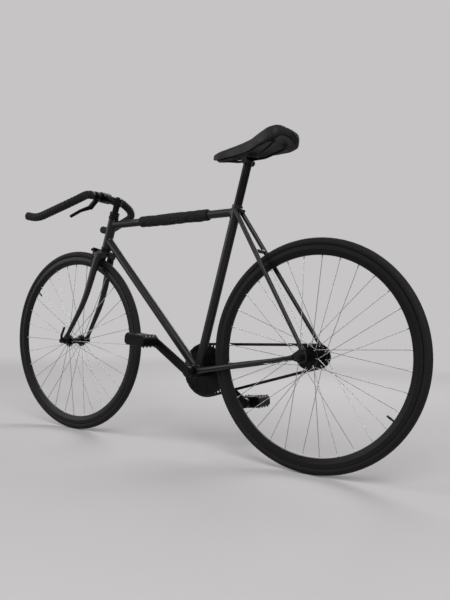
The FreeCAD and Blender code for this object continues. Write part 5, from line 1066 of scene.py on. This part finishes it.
class BICYCLE_OT_sew_pad(bpy.types.Operator):
    """Sews the padded sleeve round the top tube"""

    bl_idname = "bicycle.sew_pad"
    bl_label = "Sew the pad"

    def execute(self, context):
        sizes = context.scene.bicycle_sizes
        line = pad_line()
        along, angle, radius = pad_surface(context, line, sizes)
        sleeve = pad_grid(line, along, angle, radius)
        pad = piece("sewn_pad", [sleeve], "frame", "black_pad_fabric", ["top_tube_pad"])
        rows = []
        for hem in PAD_HEMS:
            row = np.abs(along - hem).argmin()
            ring = line.round_it(np.full_like(angle, along[row]), angle, radius[row])
            rows.append(stitch_row(np.concatenate([ring, ring[:1]]), sizes.stitch, PAD_THREAD))
        between = (along > PAD_HEMS[0] + 3 * MM) & (along < PAD_HEMS[1] - 3 * MM)
        for seam in PAD_SEAMS:
            column = np.abs(angle - seam).argmin()
            turn = np.full(between.sum(), angle[column])
            path = line.round_it(along[between], turn, radius[between, column])
            rows.append(stitch_row(path, sizes.stitch, PAD_THREAD))
        piece("pad_stitches", rows, "frame", "black_pad_fabric", finish="thread")
        return {"FINISHED"}


# Brazed joints of the frame

# How far a fillet's edges sink into the tubes, and how far up the seat tube its lower joint is looked for
JOINT_SINK, SEAT_TUBE_REACH = 0.08 * MM, 0.3


def brazed_joint(start, way, radius, post, post_way, post_radius, reach):
    """Fillet where a tube meets a post: its lines q + t a meet the post where their distance is its radius.

    From each meeting point the fillet runs back along the tube and out over the post by its reach, and a
    quadratic curve through the corner joins the two.
    """
    way, post_way = unit(way), unit(post_way)
    first = unit(np.cross(way, LATERAL))
    second = np.cross(way, first)
    angle = circle(72)
    out = np.cos(angle)[:, None] * first + np.sin(angle)[:, None] * second
    begin = start + radius * out - post
    begin = begin - (begin @ post_way)[:, None] * post_way
    slope = way - (way @ post_way) * post_way
    b, a = begin @ slope, slope @ slope
    t = (-b - np.sqrt(np.maximum(b * b - a * ((begin ** 2).sum(1) - post_radius ** 2), 0))) / a
    corner = start + radius * out + t[:, None] * way

    def on_post(points):
        """Nearest points of the post's axis, and the ways out from there."""
        axis = post + ((points - post) @ post_way)[:, None] * post_way
        return axis, unit(points - axis)

    _, normal = on_post(corner)
    over = unit(out - (out * normal).sum(1, keepdims=True) * normal)
    axis, normal = on_post(corner + over * reach)
    low = corner - way * reach - out * JOINT_SINK
    high = axis + normal * (post_radius - JOINT_SINK)
    share = np.linspace(0, 1, 8)[:, None, None]
    points = (1 - share) ** 2 * low + 2 * share * (1 - share) * corner + share ** 2 * high
    return grid(points, close_columns=True)


class BICYCLE_OT_braze_joints(bpy.types.Operator):
    """Fillets the joints of the main tubes"""

    bl_idname = "bicycle.braze_joints"
    bl_label = "Braze the joints"

    def execute(self, context):
        reach = context.scene.bicycle_sizes.joint
        top_way, down_way = TOP_TUBE_END - TOP_TUBE_START, DOWN_TUBE_TOP - BRACKET
        head, seat, shell = (
            (STEER_FOOT, STEER_UP, HEAD_TUBE_RADIUS), (BRACKET, SEAT_UP, SEAT_LUG_RADIUS),
            (BRACKET, LATERAL, SHELL_RADIUS),
        )
        grids = [
            brazed_joint(TOP_TUBE_START, top_way, TOP_TUBE_RADIUS, *head, reach),
            brazed_joint(TOP_TUBE_END, -top_way, TOP_TUBE_RADIUS, *seat, reach),
            brazed_joint(BRACKET, down_way, DOWN_TUBE_RADIUS, *head, reach),
            brazed_joint(DOWN_TUBE_TOP, -down_way, DOWN_TUBE_RADIUS, *shell, reach),
            brazed_joint(BRACKET + SEAT_UP * SEAT_TUBE_REACH, -SEAT_UP, SEAT_TUBE_RADIUS, *shell, reach),
        ]
        piece("brazed_joints", grids, "frame", "gloss_black_paint")
        return {"FINISHED"}


# Stage

CAMERA_PLACE = (-1.2412, 1.49415, 0.44014)
CAMERA_YAW = math.radians(34.99)
CAMERA_PITCH = math.radians(2.79)
CAMERA_ROLL = math.radians(-1.61)
# The middle of the view lies 45.33 pixels off, of 600.
CAMERA_SHIFT = 45.33 / 600
# Radius of the floor, how far it lies under the tyres, and between which distances it fades
FLOOR_REACH, FLOOR_DROP, FLOOR_FADE = 30.0, 0.4 * MM, (1.2, 4.5)
# Place, target, width, height and power of each lamp
LAMPS = {
    "key": ((-2.2, 2.4, 2.9), (0, 0, 0.5), 2.4, 2.4, 108),
    "fill": ((2.6, 2.0, 1.8), (0, 0, 0.5), 2.0, 2.0, 43),
    "back": ((0.6, -2.8, 2.4), (0, 0, 0.5), 2.6, 1.6, 60),
}


class BICYCLE_OT_set_stage(bpy.types.Operator):
    """Lays the floor and sets the lamps, the surroundings and the camera"""

    bl_idname = "bicycle.set_stage"
    bl_label = "Set the stage"

    def execute(self, context):
        self.lay_floor(context)
        self.hang_lamps(context)
        self.light_world(context)
        self.place_camera(context)
        return {"FINISHED"}

    def lay_floor(self, context):
        """Disc whose points lie at a radius that grows by squares; it fades into the surroundings far out."""
        reach, turn = np.meshgrid(np.linspace(0, 1, 24) ** 2 * FLOOR_REACH, circle(96), indexing="ij")
        points = np.stack([reach * np.cos(turn), reach * np.sin(turn), 0 * reach - FLOOR_DROP], -1)
        vertices, quads, _ = grid(points, close_columns=True)
        mesh = new_mesh("floor", vertices, quads[:, ::-1])
        tint = (*context.scene.bicycle_colours.floor, 1)
        material, tree, place = new_finish("pale_studio_floor")
        far = add(tree, "VectorMath", {0: place}, out="Value", operation="LENGTH")
        far = spread(tree, far, *FLOOR_FADE, curve="SMOOTHSTEP")
        near = add(tree, "BsdfDiffuse", {"Color": tint})
        beyond = add(tree, "Emission", {"Color": tint, "Strength": 1.0})
        seen = add(tree, "LightPath", out="Is Camera Ray")
        fade = times(tree, far, seen)
        add(tree, "OutputMaterial", {"Surface": add(tree, "MixShader", {0: fade, 1: near, 2: beyond})})
        mesh.materials.append(material)
        floor = placed("floor", mesh)

    def hang_lamps(self, context):
        """Rectangular lamps, each turned to its target and hidden from the camera."""
        for name, (place, target, width, height, power) in LAMPS.items():
            lamp = bpy.data.lights.new(name, "AREA")
            lamp.shape, lamp.size, lamp.size_y, lamp.energy = "RECTANGLE", width, height, power
            hung = placed(name, lamp)
            hung.location = place
            hung.rotation_euler = (Vector(target) - Vector(place)).to_track_quat("-Z", "Y").to_euler()
            hung.visible_camera = False

    def light_world(self, context):
        """Even surroundings: full strength where they are seen or mirrored, weaker as light."""
        world = bpy.data.worlds.new("studio")
        context.scene.world = world
        world.use_nodes = True
        tree = world.node_tree
        tree.nodes.clear()
        tint = (*context.scene.bicycle_colours.floor, 1)
        path = tree.nodes.new("ShaderNodeLightPath").outputs
        seen = add(tree, "Math", {0: path["Is Camera Ray"], 1: path["Is Glossy Ray"]}, operation="MAXIMUM")
        seen = add(tree, "Math", {0: seen, 1: path["Is Transmission Ray"]}, operation="MAXIMUM")
        ambient = add(tree, "Background", {"Color": tint, "Strength": 0.45})
        shown = add(tree, "Background", {"Color": tint, "Strength": 1.0})
        add(tree, "OutputWorld", {"Surface": add(tree, "MixShader", {0: seen, 1: ambient, 2: shown})})

    def place_camera(self, context):
        """Right, down and ahead of the view by yaw and pitch, then turned by the roll."""
        ahead = np.array([math.sin(CAMERA_YAW), -math.cos(CAMERA_YAW), 0]) * math.cos(CAMERA_PITCH)
        ahead[2] = -math.sin(CAMERA_PITCH)
        right = unit(np.cross(ahead, UP))
        down = np.cross(ahead, right)
        aside = math.cos(CAMERA_ROLL) * right + math.sin(CAMERA_ROLL) * down
        below = math.cos(CAMERA_ROLL) * down - math.sin(CAMERA_ROLL) * right
        view = bpy.data.cameras.new("view")
        view.lens = context.scene.bicycle_sizes.focal_length
        view.sensor_width = 36.0
        view.shift_y = CAMERA_SHIFT
        camera = placed("view", view)
        turn = Matrix(np.column_stack([aside, -below, -ahead]).tolist()).to_4x4()
        camera.matrix_world = Matrix.Translation(CAMERA_PLACE) @ turn
        context.scene.camera = camera
        context.scene.view_settings.view_transform = "Standard"


class BICYCLE_PT_pieces(bpy.types.Panel):
    """Lists the pieces and what can be changed"""

    bl_label = "Bicycle"
    bl_idname = "BICYCLE_PT_pieces"
    bl_space_type = "VIEW_3D"
    bl_region_type = "UI"
    bl_category = "Bicycle"

    def draw(self, context):
        for group in (context.scene.bicycle_sizes, context.scene.bicycle_colours):
            for name in group.bl_rna.properties.keys():
                if name not in ("rna_type", "name"):
                    self.layout.prop(group, name)
        for operator in OPERATORS:
            self.layout.operator(operator.bl_idname)


OPERATORS = (
    BICYCLE_OT_finish_nodes,
    BICYCLE_OT_set_stage,
    BICYCLE_OT_make_tyres,
    BICYCLE_OT_make_spoke_ends,
    BICYCLE_OT_wind_tape,
    BICYCLE_OT_sew_saddle,
    BICYCLE_OT_sew_pad,
    BICYCLE_OT_braze_joints,
)
CLASSES = (FinishColours, BicycleSizes) + OPERATORS + (BICYCLE_PT_pieces,)


def register():
    for kind in CLASSES:
        bpy.utils.register_class(kind)
    bpy.types.Scene.bicycle_colours = PointerProperty(type=FinishColours)
    bpy.types.Scene.bicycle_sizes = PointerProperty(type=BicycleSizes)


def unregister():
    del bpy.types.Scene.bicycle_sizes
    del bpy.types.Scene.bicycle_colours
    for kind in reversed(CLASSES):
        bpy.utils.unregister_class(kind)


def main():
    register()
    bpy.ops.bicycle.finish_nodes()
    bpy.ops.bicycle.set_stage()
    bpy.ops.bicycle.make_tyres()
    bpy.ops.bicycle.make_spoke_ends()
    bpy.ops.bicycle.wind_tape()
    bpy.ops.bicycle.sew_saddle()
    bpy.ops.bicycle.sew_pad()
    bpy.ops.bicycle.braze_joints()


if __name__ == "__main__":
    main()
